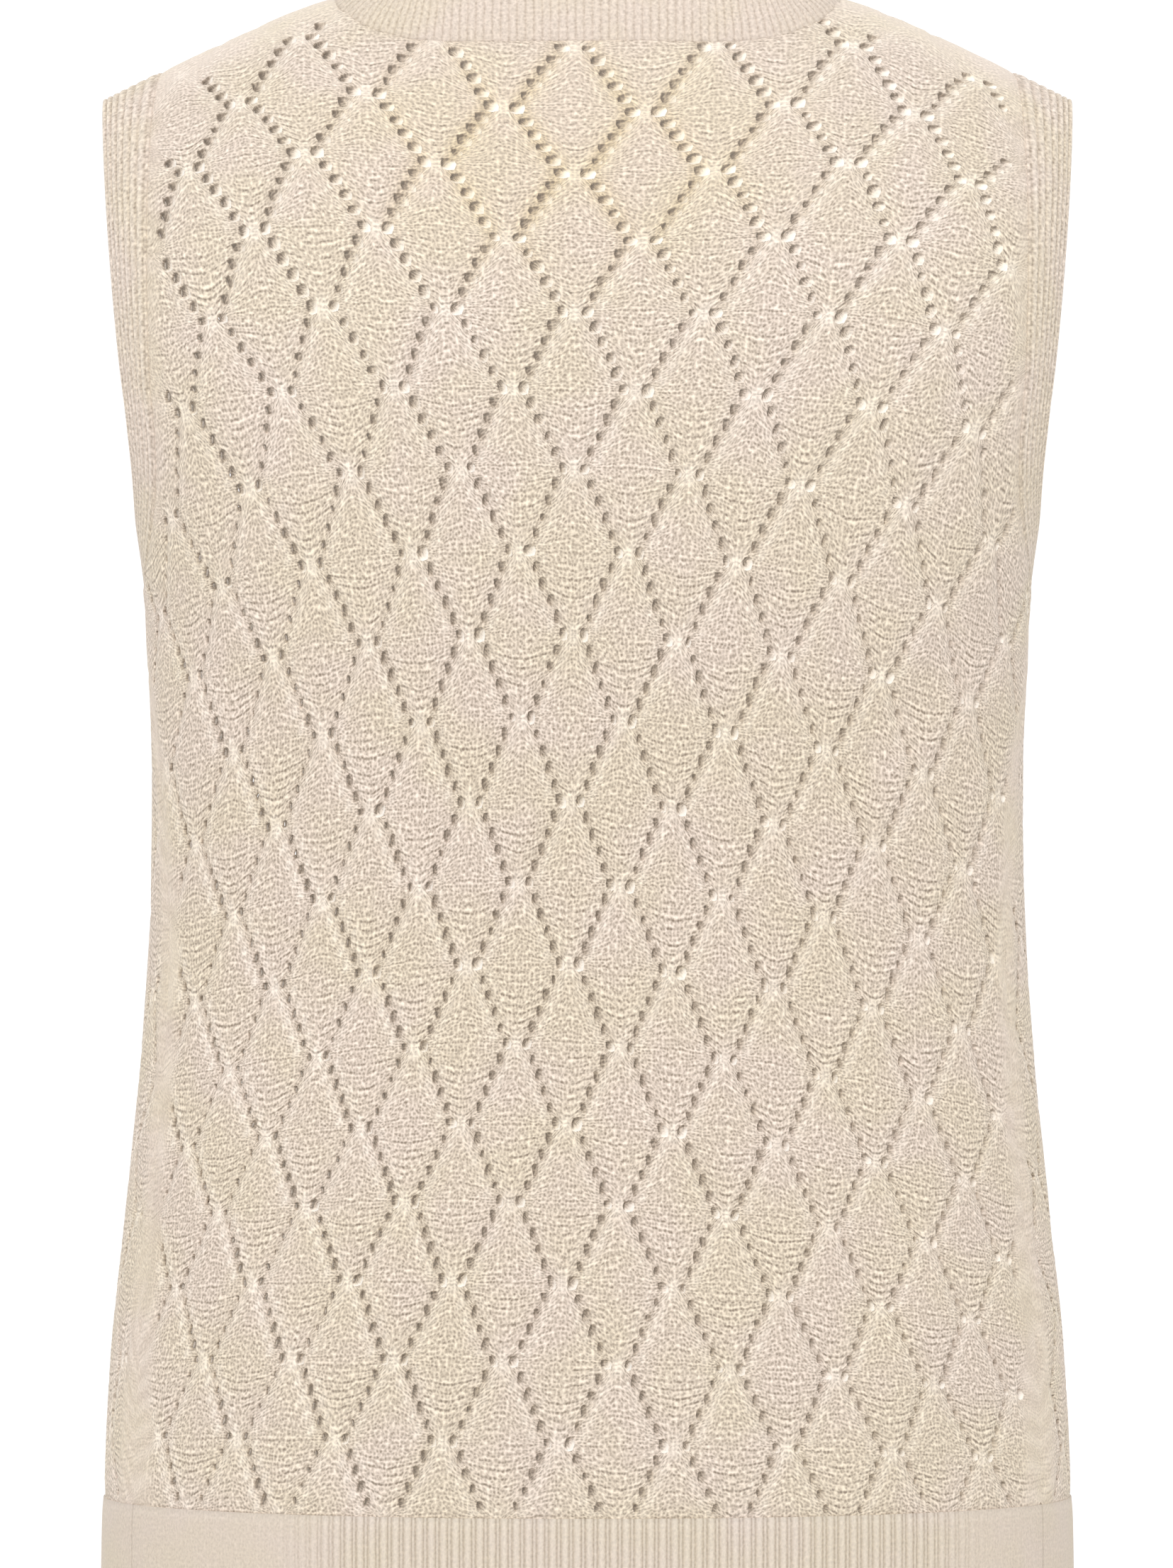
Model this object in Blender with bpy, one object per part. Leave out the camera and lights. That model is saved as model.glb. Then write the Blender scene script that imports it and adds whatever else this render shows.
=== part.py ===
"""Sleeveless knitted vest with rib bands, hollow and filled out as it is when worn.

Metres, +Z up. The origin is midway between the neck ends of the two shoulder seams. The wearer's back is
towards +Y and their left side towards +X. Every piece is a wall of knitted cloth: its outer face lies on one
body form, its inner face is the wall's thickness inside, and neighbours share the line of their seam.
"""

import math

import bmesh
import bpy
from mathutils import Vector

# ---- driving sizes ----
WALL = 0.002
SEAM_GAP = 0.0003

HEM_RIB_TOP = -0.621
HEM_RIB_BOTTOM = -0.676
UNDERARM = -0.245

NECK_HALF_WIDTH = 0.104
SHOULDER_RISE = 0.0047
SHOULDER_FALL = 0.5
SHOULDER_EASE = 0.025

NECKBAND_STEPS = ((0.0115, 0.75), (0.0110, 0.35))  # length of each part, and how much it turns upwards

# ---- columns across half a panel, and rows up its side edge ----
NECK_COLUMNS = 7
SHOULDER_COLUMNS = 5
SEAM_ROWS = 11
UNDERARM_ROWS = 4
ARMHOLE_ROWS = 8
BAND_STEPS = 2

# Level sections of the body form, from the hem to the shoulder line.
# height | half width | depth to the back | depth to the front | squareness | side seam's angle from the back
LEVEL_COLUMNS = ("height", "half_width", "back", "front", "squareness", "seam_angle")
LEVELS = (
    (-0.676, 0.2003, 0.108, 0.121, 2.10, 76.6),
    (-0.621, 0.1993, 0.109, 0.123, 2.10, 76.8),
    (-0.560, 0.1964, 0.108, 0.122, 2.10, 77.0),
    (-0.500, 0.1902, 0.104, 0.119, 2.12, 77.2),
    (-0.440, 0.1842, 0.099, 0.116, 2.15, 77.5),
    (-0.383, 0.1804, 0.095, 0.115, 2.20, 78.4),
    (-0.320, 0.1795, 0.095, 0.118, 2.30, 81.2),
    (-0.265, 0.1814, 0.098, 0.124, 2.48, 86.8),
    (-0.245, 0.1828, 0.099, 0.126, 2.55, 90.0),
    (-0.210, 0.1870, 0.100, 0.127, 2.75, 90.0),
    (-0.170, 0.1920, 0.100, 0.127, 3.00, 90.0),
    (-0.120, 0.1965, 0.100, 0.127, 3.00, 90.0),
    (-0.061, 0.2003, 0.100, 0.127, 3.00, 90.0),
    (0.006, 0.2035, 0.100, 0.127, 3.00, 90.0),
)

# The two faces of the form. Above its turn, a face leans in and closes over the shoulder line.
# turn: height where it starts | neck_depth: depth of the neck's edge as a share of the face's own
# neck_roundness: lower is squarer | widest: how far above the turn the armhole is widest
FACES = {
    "back": {"sign": 1.0, "turn": -0.170, "neck_depth": 0.53, "neck_roundness": 0.5, "widest": 0.0},
    "front": {"sign": -1.0, "turn": -0.210, "neck_depth": 0.77, "neck_roundness": 0.65, "widest": 0.040},
}

# The two edges of an armhole band. tip: distance from the middle along the shoulder line
# back, front: angle from the middle of the face where the armhole is widest | drop: from there to its foot
ARMHOLE_EDGES = {
    "seam": {"tip": 0.177, "back": 71.7, "front": 68.5, "drop": 0.0750},
    "opening": {"tip": 0.200, "back": 79.0, "front": 76.5, "drop": 0.0525},
}

COLOURS = {
    "pointelle_knit": ("#E6D7C5", 0.9),
    "rib_knit": ("#E8DBC9", 0.88),
}


# ---- the body form ----
def level(name, height):
    """A column of LEVELS at any height, on a smooth curve through its rows."""
    column = LEVEL_COLUMNS.index(name)
    last = len(LEVELS) - 1
    row = 0
    while row < last - 1 and height > LEVELS[row + 1][0]:
        row += 1
    slopes = []
    for end in (row, row + 1):
        below = LEVELS[max(end - 1, 0)]
        above = LEVELS[min(end + 1, last)]
        slopes.append((above[column] - below[column]) / (above[0] - below[0]))
    step = LEVELS[row + 1][0] - LEVELS[row][0]
    t = min(max((height - LEVELS[row][0]) / step, 0.0), 1.0)
    start = LEVELS[row][column] * (1 + 2 * t) * (1 - t) ** 2 + slopes[0] * step * t * (1 - t) ** 2
    end = LEVELS[row + 1][column] * t * t * (3 - 2 * t) + slopes[1] * step * t * t * (t - 1)
    return start + end


def ridge_height(x):
    """Height of the shoulder line: level across the neck, then falling to the shoulder tips."""
    past_neck = abs(x) - NECK_HALF_WIDTH
    return SHOULDER_RISE - SHOULDER_FALL * 0.5 * (past_neck + math.hypot(past_neck, SHOULDER_EASE))


def full_rise(face):
    """The rise from a face's turn to the shoulder line."""
    return 0.5 * math.pi * (SHOULDER_RISE - FACES[face]["turn"])


def form_point(face, angle, rise):
    """A point of the form. angle is in degrees from the middle of the face, rise in metres above its turn."""
    facts = FACES[face]
    lean = 0.5 * math.pi * max(rise, 0.0) / full_rise(face)
    nominal = facts["turn"] + min(rise, 0.0) + (SHOULDER_RISE - facts["turn"]) * math.sin(lean)
    other = "front" if face == "back" else "back"
    near = face if angle <= 90.0 else other
    side = math.sin(math.radians(angle))
    ahead = math.cos(math.radians(angle))
    power = level("squareness", nominal)
    across = (abs(side) / level("half_width", nominal)) ** power
    along = (abs(ahead) / level(near, min(nominal, facts["turn"]))) ** power
    reach = (across + along) ** (-1.0 / power)
    x = reach * side
    y = facts["sign"] * reach * ahead * math.cos(lean)
    z = facts["turn"] + min(rise, 0.0) + (ridge_height(x) - facts["turn"]) * math.sin(lean)
    return Vector((x, y, z))


def form_normal(face, angle, rise):
    """The form's outward direction at a point, from two short steps along it."""
    top = full_rise(face)
    rise_step = 0.0005
    low = min(rise, top - rise_step)
    turn_across = form_point(face, angle + 0.2, rise) - form_point(face, angle - 0.2, rise)
    turn_up = form_point(face, angle, low + rise_step) - form_point(face, angle, low - rise_step)
    return (FACES[face]["sign"] * turn_up.cross(turn_across)).normalized()


def shoulder_angle(face, x):
    """The angle on a face of the point of the shoulder line at x."""
    power = level("squareness", SHOULDER_RISE)
    left_over = 1 - (x / level("half_width", SHOULDER_RISE)) ** power
    return math.degrees(math.atan2(x, level(face, FACES[face]["turn"]) * left_over ** (1 / power)))


# ---- edges of the panels, as (angle, rise) ----
def seam_edge(face, height):
    """The side seam at a height. It swings from the armhole's foot round to the back."""
    from_back = level("seam_angle", height)
    angle = from_back if face == "back" else 180.0 - from_back
    return (angle, height - FACES[face]["turn"])


def armhole_edge(face, edge, row):
    """An armhole edge at a row, from 0 at its foot to the last at the shoulder line."""
    widest = ARMHOLE_EDGES[edge][face]
    top = shoulder_angle(face, ARMHOLE_EDGES[edge]["tip"])
    start = FACES[face]["widest"]
    if row <= UNDERARM_ROWS:
        swing = 0.5 * math.pi * (1 - row / UNDERARM_ROWS)
        angle = 90.0 - (90.0 - widest) * math.cos(swing)
        return (angle, start - ARMHOLE_EDGES[edge]["drop"] * math.sin(swing))
    share = (row - UNDERARM_ROWS) / ARMHOLE_ROWS
    return (widest + (top - widest) * share, start + (full_rise(face) - start) * share)


def top_edge(face, column):
    """The top of a panel at a column, 0 at the middle: the neck's edge, then the shoulder seam."""
    if column >= NECK_COLUMNS:
        share = (column - NECK_COLUMNS) / SHOULDER_COLUMNS
        x = NECK_HALF_WIDTH + (ARMHOLE_EDGES["seam"]["tip"] - NECK_HALF_WIDTH) * share
        return (shoulder_angle(face, x), full_rise(face))
    around = 0.5 * math.pi * column / NECK_COLUMNS
    depth = FACES[face]["neck_depth"] * math.cos(around) ** FACES[face]["neck_roundness"]
    angle = shoulder_angle(face, NECK_HALF_WIDTH) * math.sin(around)
    return (angle, full_rise(face) * math.acos(depth) / (0.5 * math.pi))


# ---- walls from grids of points ----
def pulled_in(grid, edges):
    """The grid with each named edge drawn back by half the seam gap."""
    rows = len(grid)
    columns = len(grid[0])
    result = [list(row) for row in grid]
    for i in range(rows):
        for j in range(columns):
            moves = []
            if "bottom" in edges and i == 0:
                moves.append((grid[1][j], grid[0][max(j - 1, 0)], grid[0][min(j + 1, columns - 1)]))
            if "top" in edges and i == rows - 1:
                moves.append((grid[i - 1][j], grid[i][max(j - 1, 0)], grid[i][min(j + 1, columns - 1)]))
            if "sides" in edges and j == 0:
                moves.append((grid[i][1], grid[max(i - 1, 0)][0], grid[min(i + 1, rows - 1)][0]))
            if "sides" in edges and j == columns - 1:
                moves.append((grid[i][j - 1], grid[max(i - 1, 0)][j], grid[min(i + 1, rows - 1)][j]))
            for inside, before, after in moves:
                tangent = (after - before).normalized()
                inward = inside - grid[i][j]
                inward -= tangent * inward.dot(tangent)
                result[i][j] = result[i][j] + inward.normalized() * SEAM_GAP / 2
    return result


def knit_material(name):
    """A matt knitted yarn in one of the vest's two knits."""
    colour, roughness = COLOURS[name]
    channels = [int(colour[i : i + 2], 16) / 255 for i in (1, 3, 5)]
    linear = [c / 12.92 if c <= 0.04045 else ((c + 0.055) / 1.055) ** 2.4 for c in channels]
    material = bpy.data.materials.get(name) or bpy.data.materials.new(name)
    material.use_nodes = True
    shader = material.node_tree.nodes["Principled BSDF"]
    shader.inputs["Base Color"].default_value = (*linear, 1.0)
    shader.inputs["Roughness"].default_value = roughness
    shader.inputs["Metallic"].default_value = 0.0
    return material


def cloth_wall(name, grid, normals, knit, edges=(), ring=False):
    """One closed wall: a grid of outer points, the same points one wall thickness in, and its edges."""
    grid = pulled_in(grid, edges)
    rows = len(grid)
    columns = len(grid[0])
    spans = columns if ring else columns - 1
    mesh = bmesh.new()
    outer = [[mesh.verts.new(p) for p in row] for row in grid]
    inner = [[mesh.verts.new(grid[i][j] - normals[i][j] * WALL) for j in range(columns)] for i in range(rows)]
    for i in range(rows - 1):
        for j in range(spans):
            k = (j + 1) % columns
            mesh.faces.new((outer[i][j], outer[i][k], outer[i + 1][k], outer[i + 1][j]))
            mesh.faces.new((inner[i][j], inner[i + 1][j], inner[i + 1][k], inner[i][k]))
    for j in range(spans):
        k = (j + 1) % columns
        mesh.faces.new((outer[0][k], outer[0][j], inner[0][j], inner[0][k]))
        mesh.faces.new((outer[-1][j], outer[-1][k], inner[-1][k], inner[-1][j]))
    if not ring:
        for i in range(rows - 1):
            mesh.faces.new((outer[i][0], outer[i + 1][0], inner[i + 1][0], inner[i][0]))
            mesh.faces.new((outer[i + 1][-1], outer[i][-1], inner[i][-1], inner[i + 1][-1]))
    bmesh.ops.triangulate(mesh, faces=mesh.faces)
    bmesh.ops.recalc_face_normals(mesh, faces=mesh.faces)
    data = bpy.data.meshes.new(name)
    mesh.to_mesh(data)
    mesh.free()
    data.shade_smooth()
    data.set_sharp_from_angle(angle=math.radians(50))
    data.materials.append(knit_material(knit))
    piece = bpy.data.objects.new(name, data)
    bpy.context.collection.objects.link(piece)
    return piece


# ---- the panels ----
def mirrored(half):
    """A whole row from its half: the half runs from the middle outwards, the other is its mirror image."""
    return [Vector((-p.x, p.y, p.z)) for p in reversed(half[1:])] + half


def panel_grid(face):
    """Outer points and normals of a panel, in rows from the hem rib's top to the neck and shoulders."""
    columns = NECK_COLUMNS + SHOULDER_COLUMNS
    turn = FACES[face]["turn"]
    side = []
    for i in range(SEAM_ROWS):
        side.append(seam_edge(face, HEM_RIB_TOP + (UNDERARM - HEM_RIB_TOP) * i / SEAM_ROWS))
    for row in range(UNDERARM_ROWS + ARMHOLE_ROWS + 1):
        side.append(armhole_edge(face, "seam", row))
    upper = UNDERARM_ROWS + ARMHOLE_ROWS
    middle_top = top_edge(face, 0)[1]
    tip = top_edge(face, columns)
    grid = []
    normals = []
    for i, (edge_angle, edge_rise) in enumerate(side):
        up = max(i - SEAM_ROWS, 0) / upper
        low = UNDERARM - turn
        middle_rise = edge_rise if i <= SEAM_ROWS else low + (middle_top - low) * up
        row = []
        row_normals = []
        for j in range(columns + 1):
            share = j / columns
            spread = share * (1.35 - 0.35 * share)
            angle = edge_angle * spread
            rise = middle_rise + (edge_rise - middle_rise) * share
            top_angle, top_rise = top_edge(face, j)
            angle += up**2 * (top_angle - tip[0] * spread)
            rise += up**2 * (top_rise - middle_top - (tip[1] - middle_top) * share)
            row.append(form_point(face, angle, rise))
            row_normals.append(form_normal(face, angle, rise))
        grid.append(mirrored(row))
        normals.append(mirrored(row_normals))
    return grid, normals


def hem_rib(face, panel, panel_normals):
    """Points and normals of a hem rib, from the panel's bottom row down the form."""
    grid = [panel[0]]
    normals = [panel_normals[0]]
    columns = NECK_COLUMNS + SHOULDER_COLUMNS
    for step in range(1, BAND_STEPS + 1):
        height = HEM_RIB_TOP + (HEM_RIB_BOTTOM - HEM_RIB_TOP) * step / BAND_STEPS
        edge_angle, rise = seam_edge(face, height)
        angles = [edge_angle * j / columns * (1.35 - 0.35 * j / columns) for j in range(columns + 1)]
        grid.insert(0, mirrored([form_point(face, angle, rise) for angle in angles]))
        normals.insert(0, mirrored([form_normal(face, angle, rise) for angle in angles]))
    return grid, normals


# ---- the bands ----
def neck_band(back, back_normals, front, front_normals):
    """Points and normals of the neck band, in a ring round the two panels' neck edges."""
    middle = NECK_COLUMNS + SHOULDER_COLUMNS
    picked = range(middle - NECK_COLUMNS, middle + NECK_COLUMNS + 1)
    seam = [back[-1][j] for j in picked] + [front[-1][j] for j in reversed(picked)][1:-1]
    normals = [back_normals[-1][j] for j in picked] + [front_normals[-1][j] for j in reversed(picked)][1:-1]
    count = len(seam)
    tangents = [(seam[(k + 1) % count] - seam[k - 1]).normalized() for k in range(count)]
    inwards = [tangents[k].cross(normals[k]).normalized() for k in range(count)]
    rows = [seam]
    row_normals = [normals]
    for length, upturn in NECKBAND_STEPS:
        rises = [(inwards[k] + Vector((0, 0, upturn))).normalized() for k in range(count)]
        rows.append([rows[-1][k] + rises[k] * length for k in range(count)])
        row_normals.append([rises[k].cross(tangents[k]).normalized() for k in range(count)])
    return rows, row_normals


def armhole_band(side):
    """Points and normals of an armhole band, in a ring from the panels' armhole edges to the opening."""
    last = UNDERARM_ROWS + ARMHOLE_ROWS
    stations = [("back", row) for row in range(last + 1)]
    stations += [("front", row) for row in range(last - 1, 0, -1)]
    rows = []
    row_normals = []
    for step in range(BAND_STEPS + 1):
        share = step / BAND_STEPS
        points = []
        normals = []
        for face, row in stations:
            seam = armhole_edge(face, "seam", row)
            opening = armhole_edge(face, "opening", row)
            angle = seam[0] + (opening[0] - seam[0]) * share
            rise = seam[1] + (opening[1] - seam[1]) * share
            point = form_point(face, angle, rise)
            normal = form_normal(face, angle, rise)
            points.append(Vector((side * point.x, point.y, point.z)))
            normals.append(Vector((side * normal.x, normal.y, normal.z)))
        rows.append(points)
        row_normals.append(normals)
    return rows, row_normals


def build():
    """The vest's seven pieces."""
    for thing in list(bpy.data.objects):
        bpy.data.objects.remove(thing, do_unlink=True)
    back = panel_grid("back")
    front = panel_grid("front")
    cloth_wall("back_panel", *back, "pointelle_knit", edges=("bottom", "top", "sides"))
    cloth_wall("front_panel", *front, "pointelle_knit", edges=("bottom", "top", "sides"))
    cloth_wall("hem_rib_back", *hem_rib("back", *back), "rib_knit", edges=("top", "sides"))
    cloth_wall("hem_rib_front", *hem_rib("front", *front), "rib_knit", edges=("top", "sides"))
    cloth_wall("neck_band", *neck_band(*back, *front), "rib_knit", edges=("bottom",), ring=True)
    cloth_wall("armhole_band_left", *armhole_band(1), "rib_knit", edges=("bottom",), ring=True)
    cloth_wall("armhole_band_right", *armhole_band(-1), "rib_knit", edges=("bottom",), ring=True)


build()
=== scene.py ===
import math

import bmesh
import bpy
import numpy as np
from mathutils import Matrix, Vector


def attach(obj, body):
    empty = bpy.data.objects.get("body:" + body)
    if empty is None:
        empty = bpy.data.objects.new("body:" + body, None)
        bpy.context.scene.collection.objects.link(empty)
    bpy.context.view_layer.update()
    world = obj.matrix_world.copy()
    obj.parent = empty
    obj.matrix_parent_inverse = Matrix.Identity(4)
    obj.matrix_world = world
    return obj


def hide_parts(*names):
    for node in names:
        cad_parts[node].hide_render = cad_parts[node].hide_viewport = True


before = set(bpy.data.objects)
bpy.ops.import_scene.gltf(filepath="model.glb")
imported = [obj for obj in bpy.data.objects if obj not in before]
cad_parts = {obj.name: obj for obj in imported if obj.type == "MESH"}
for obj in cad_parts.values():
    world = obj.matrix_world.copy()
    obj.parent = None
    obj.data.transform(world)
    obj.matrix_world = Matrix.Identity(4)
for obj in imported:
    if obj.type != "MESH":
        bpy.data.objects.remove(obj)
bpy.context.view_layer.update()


# ---- the view ----
# The vest hangs upright as it is worn, filled out and with its back to the viewer. It is seen square on
# from 3.4 m away through a long lens, level with its middle.
VIEW_DISTANCE = 3.4
VIEW_ASIDE = 0.0004
VIEW_HEIGHT = -0.3259
SEEN_HEIGHT = 0.6488
FILM_HEIGHT = 36.0

lens = bpy.data.cameras.new("view")
lens.sensor_fit = "VERTICAL"
lens.sensor_height = FILM_HEIGHT
lens.lens = FILM_HEIGHT * VIEW_DISTANCE / SEEN_HEIGHT
camera = bpy.data.objects.new("view", lens)
camera.location = (VIEW_ASIDE, VIEW_DISTANCE, VIEW_HEIGHT)
camera.rotation_euler = (math.radians(90), 0, math.radians(180))
bpy.context.collection.objects.link(camera)
bpy.context.scene.camera = camera
bpy.context.scene.view_settings.view_transform = "Standard"
bpy.context.scene.view_settings.look = "None"


# ---- the back panel ----
# The back is one piece of fine cotton, machine knitted in pointelle: plain diamonds of stitches between
# slanting rows of open eyelets, where the needle carried the yarn over. It is shaped by narrowing at the
# armholes and the neck, and hangs from the two shoulder seams.

# Level sections of the filled-out body, from the hem to the shoulder line:
# height, half width, depth to the back, depth to the front, squareness, side seam's angle from the back
BODY = np.array(
    (
        (-0.676, 0.2003, 0.108, 0.121, 2.10, 76.6),
        (-0.621, 0.1993, 0.109, 0.123, 2.10, 76.8),
        (-0.560, 0.1964, 0.108, 0.122, 2.10, 77.0),
        (-0.500, 0.1902, 0.104, 0.119, 2.12, 77.2),
        (-0.440, 0.1842, 0.099, 0.116, 2.15, 77.5),
        (-0.383, 0.1804, 0.095, 0.115, 2.20, 78.4),
        (-0.320, 0.1795, 0.095, 0.118, 2.30, 81.2),
        (-0.265, 0.1814, 0.098, 0.124, 2.48, 86.8),
        (-0.245, 0.1828, 0.099, 0.126, 2.55, 90.0),
        (-0.210, 0.1870, 0.100, 0.127, 2.75, 90.0),
        (-0.170, 0.1920, 0.100, 0.127, 3.00, 90.0),
        (-0.120, 0.1965, 0.100, 0.127, 3.00, 90.0),
        (-0.061, 0.2003, 0.100, 0.127, 3.00, 90.0),
        (0.006, 0.2035, 0.100, 0.127, 3.00, 90.0),
    )
)
HALF_WIDTH, BACK_DEPTH, FRONT_DEPTH, SQUARENESS, SEAM_ANGLE = range(1, 6)
HEM_LINE = -0.621
UNDERARM = -0.245

# The shoulder line is level across the neck, then falls by half its way out, easing in over 25 mm.
NECK_HALF_WIDTH = 0.104
SHOULDER_RISE = 0.0047
SHOULDER_FALL = 0.5
SHOULDER_EASE = 0.025

# Each face leans in above its turn, a height, and closes over the shoulder line. At the middle of the neck
# its edge lies at a share of the face's depth, and the edge's shape is a power and a roundness. The
# armhole's seam and opening are nearest the middle at the rise "widest", at these angles from it.
FACES = {
    "back": dict(sign=1, turn=-0.170, depth=BACK_DEPTH, other=FRONT_DEPTH, neck=0.53, neck_shape=(8, 0.35),
                 widest=0.0, seam=71.7, opening=79.0),
    "front": dict(sign=-1, turn=-0.210, depth=FRONT_DEPTH, other=BACK_DEPTH, neck=0.77, neck_shape=(2, 0.325),
                  widest=0.040, seam=68.5, opening=76.5),
}

# The armhole's seam and opening: how far out they meet the shoulder line, and how deep their curves are.
SEAM_TIP = 0.177
OPENING_TIP = 0.200
SEAM_DROP = 0.0750
OPENING_DROP = 0.0525


def smooth_column(table, column, at):
    """One column of a table at any places down its first column, on a smooth curve through its rows."""
    at = np.asarray(at, float)
    places, values = table[:, 0], table[:, column]
    last = len(places) - 1
    row = np.clip(np.searchsorted(places, at) - 1, 0, last - 1)

    def slope(k):
        before, after = np.maximum(k - 1, 0), np.minimum(k + 1, last)
        return (values[after] - values[before]) / (places[after] - places[before])

    span = places[row + 1] - places[row]
    t = np.clip((at - places[row]) / span, 0, 1)
    start = values[row] * (1 + 2 * t) * (1 - t) ** 2 + slope(row) * span * t * (1 - t) ** 2
    end = values[row + 1] * t * t * (3 - 2 * t) + slope(row + 1) * span * t * t * (t - 1)
    return start + end


def body_size(column, height):
    """One of the body's sizes at some heights."""
    return smooth_column(BODY, column, height)


def shoulder_line(x):
    """Height of the shoulder line: level across the neck, then falling to the tips."""
    past_neck = np.abs(x) - NECK_HALF_WIDTH
    return SHOULDER_RISE - SHOULDER_FALL * 0.5 * (past_neck + np.hypot(past_neck, SHOULDER_EASE))


def shoulder_rise(face):
    """The way up the cloth from a face's turn to the shoulder line."""
    return 0.5 * math.pi * (SHOULDER_RISE - FACES[face]["turn"])


def on_body(face, angle, rise):
    """Points of the body at angles in degrees from a face's middle and rises in metres above its turn."""
    facts = FACES[face]
    turn = facts["turn"]
    angle, rise = np.broadcast_arrays(np.asarray(angle, float), np.asarray(rise, float))
    lean = 0.5 * math.pi * np.maximum(rise, 0) / shoulder_rise(face)
    height = turn + np.minimum(rise, 0) + (SHOULDER_RISE - turn) * np.sin(lean)
    side, ahead = np.sin(np.radians(angle)), np.cos(np.radians(angle))
    power = body_size(SQUARENESS, height)
    low = np.minimum(height, turn)
    depth = np.where(np.abs(angle) <= 90, body_size(facts["depth"], low), body_size(facts["other"], low))
    across = (np.abs(side) / body_size(HALF_WIDTH, height)) ** power
    reach = (across + (np.abs(ahead) / depth) ** power) ** (-1 / power)
    x = reach * side
    y = facts["sign"] * reach * ahead * np.cos(lean)
    z = turn + np.minimum(rise, 0) + (shoulder_line(x) - turn) * np.sin(lean)
    return np.stack((x, y, z), axis=-1)


# Short steps for finding directions: round in degrees and up in metres.
BIT_ROUND = 0.2
BIT_UP = 0.0005


def outward(face, angle, rise):
    """The body's outward directions at the same points, from two short steps round it and up it."""
    low = np.minimum(rise, shoulder_rise(face) - 1.2 * BIT_UP)
    around = on_body(face, angle + BIT_ROUND, rise) - on_body(face, angle - BIT_ROUND, rise)
    upward = on_body(face, angle, low + BIT_UP) - on_body(face, angle, low - BIT_UP)
    normal = FACES[face]["sign"] * np.cross(upward, around)
    return normal / np.linalg.norm(normal, axis=-1, keepdims=True)


def shoulder_angle(face, x):
    """The angle on a face of the point of the shoulder line at x."""
    power = float(body_size(SQUARENESS, SHOULDER_RISE))
    left_over = 1 - (x / float(body_size(HALF_WIDTH, SHOULDER_RISE))) ** power
    depth = float(body_size(FACES[face]["depth"], FACES[face]["turn"]))
    return math.degrees(math.atan2(x, depth * left_over ** (1 / power)))


# Lengths round each face from its middle, measured once, at levels 6 mm apart and every degree.
LEVEL_STEP = 0.006
LOWEST_LEVEL = -0.56
OVER_THE_TOP = 0.08
DEGREES = np.arange(0.0, 132.0, 1.0)
level_lengths = {}


def measured_levels(face):
    """The levels of a face, and the lengths round them to each degree."""
    if face not in level_lengths:
        levels = np.arange(LOWEST_LEVEL, shoulder_rise(face) + OVER_THE_TOP, LEVEL_STEP)
        points = on_body(face, DEGREES[None, :], levels[:, None])
        pieces = np.linalg.norm(np.diff(points, axis=1), axis=2)
        lengths = np.concatenate((np.zeros((len(levels), 1)), np.cumsum(pieces, axis=1)), axis=1)
        level_lengths[face] = (levels, lengths)
    return level_lengths[face]


def turned_by(face, along, rise):
    """The angle on a face that lies a length along its level from the middle."""
    levels, lengths = measured_levels(face)
    place = np.clip((rise - levels[0]) / LEVEL_STEP, 0, len(levels) - 1.001)
    level = place.astype(int)
    angle = np.zeros_like(along)
    for k in np.unique(level):
        here = level == k
        share = place[here] - k
        low = np.interp(np.abs(along[here]), lengths[k], DEGREES)
        high = np.interp(np.abs(along[here]), lengths[k + 1], DEGREES)
        angle[here] = low + (high - low) * share
    return angle * np.sign(along)


# How the knit lies when worn. A diamond is 16 stitches wide and ten steps tall, a step is three rows of
# stitches, and half a diamond down is one row of nodes. The cloth is drawn wide over the shoulders and
# the hips and close in at the waist, its rows of nodes sag towards the sides, and below the shoulders it
# closes up. Each line is one row of nodes, counted down from the neck, in mm and diamonds from the middle:
# row, rise above the back's turn, lean, sag, easing of the sag, shift, diamond's width, narrowing outwards
STITCHES = 16
STEPS = 5
ROWS_IN_STEP = 3
KNIT_LIE = np.array(
    (
        (-5, 420, 6.0, 7.5, -0.15, 7.0, 58.0, -0.5),
        (-1, 221, 4.4, 7.6, -0.21, 5.5, 58.0, -0.6),
        (0, 169.5, 3.4, 6.2, -0.19, 5.0, 58.0, -0.6),
        (1, 128, 2.7, 5.3, -0.23, 5.2, 58.0, -0.9),
        (2, 95.2, 1.9, 4.4, -0.21, 5.0, 57.4, -1.1),
        (4, 34.2, 1.1, 0.8, -0.09, 5.2, 53.0, -1.0),
        (6, -29.2, 1.2, -0.8, -0.04, 5.4, 46.8, -0.7),
        (8, -95.7, 1.2, -1.5, 0.01, 5.7, 42.0, -0.1),
        (10, -162.8, 1.2, -1.7, 0.02, 6.8, 40.5, 0.2),
        (13, -260.5, 1.5, -1.6, 0.02, 7.8, 41.8, -0.1),
        (16, -355.7, 1.5, -0.7, 0.00, 10.2, 45.0, -0.6),
        (19, -452, 0.6, 0.0, -0.01, 12.2, 48.4, -0.8),
        (23, -576, 0.3, 0.0, 0.00, 12.2, 49.0, -0.8),
    )
)
RISE, LEAN, SAG, EASING, SHIFT, WIDTH, NARROWING = range(1, 8)

# One side is drawn in by this much for each diamond out. The front's diamonds are shifted by a share of one,
# its rows sag less, and it starts to lean in lower down than the back does.
SIDE_DRAW = 0.13
FRONT_SHIFT = 0.27
FRONT_SAG = 0.6
FRONT_LOWER = 0.040


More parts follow.
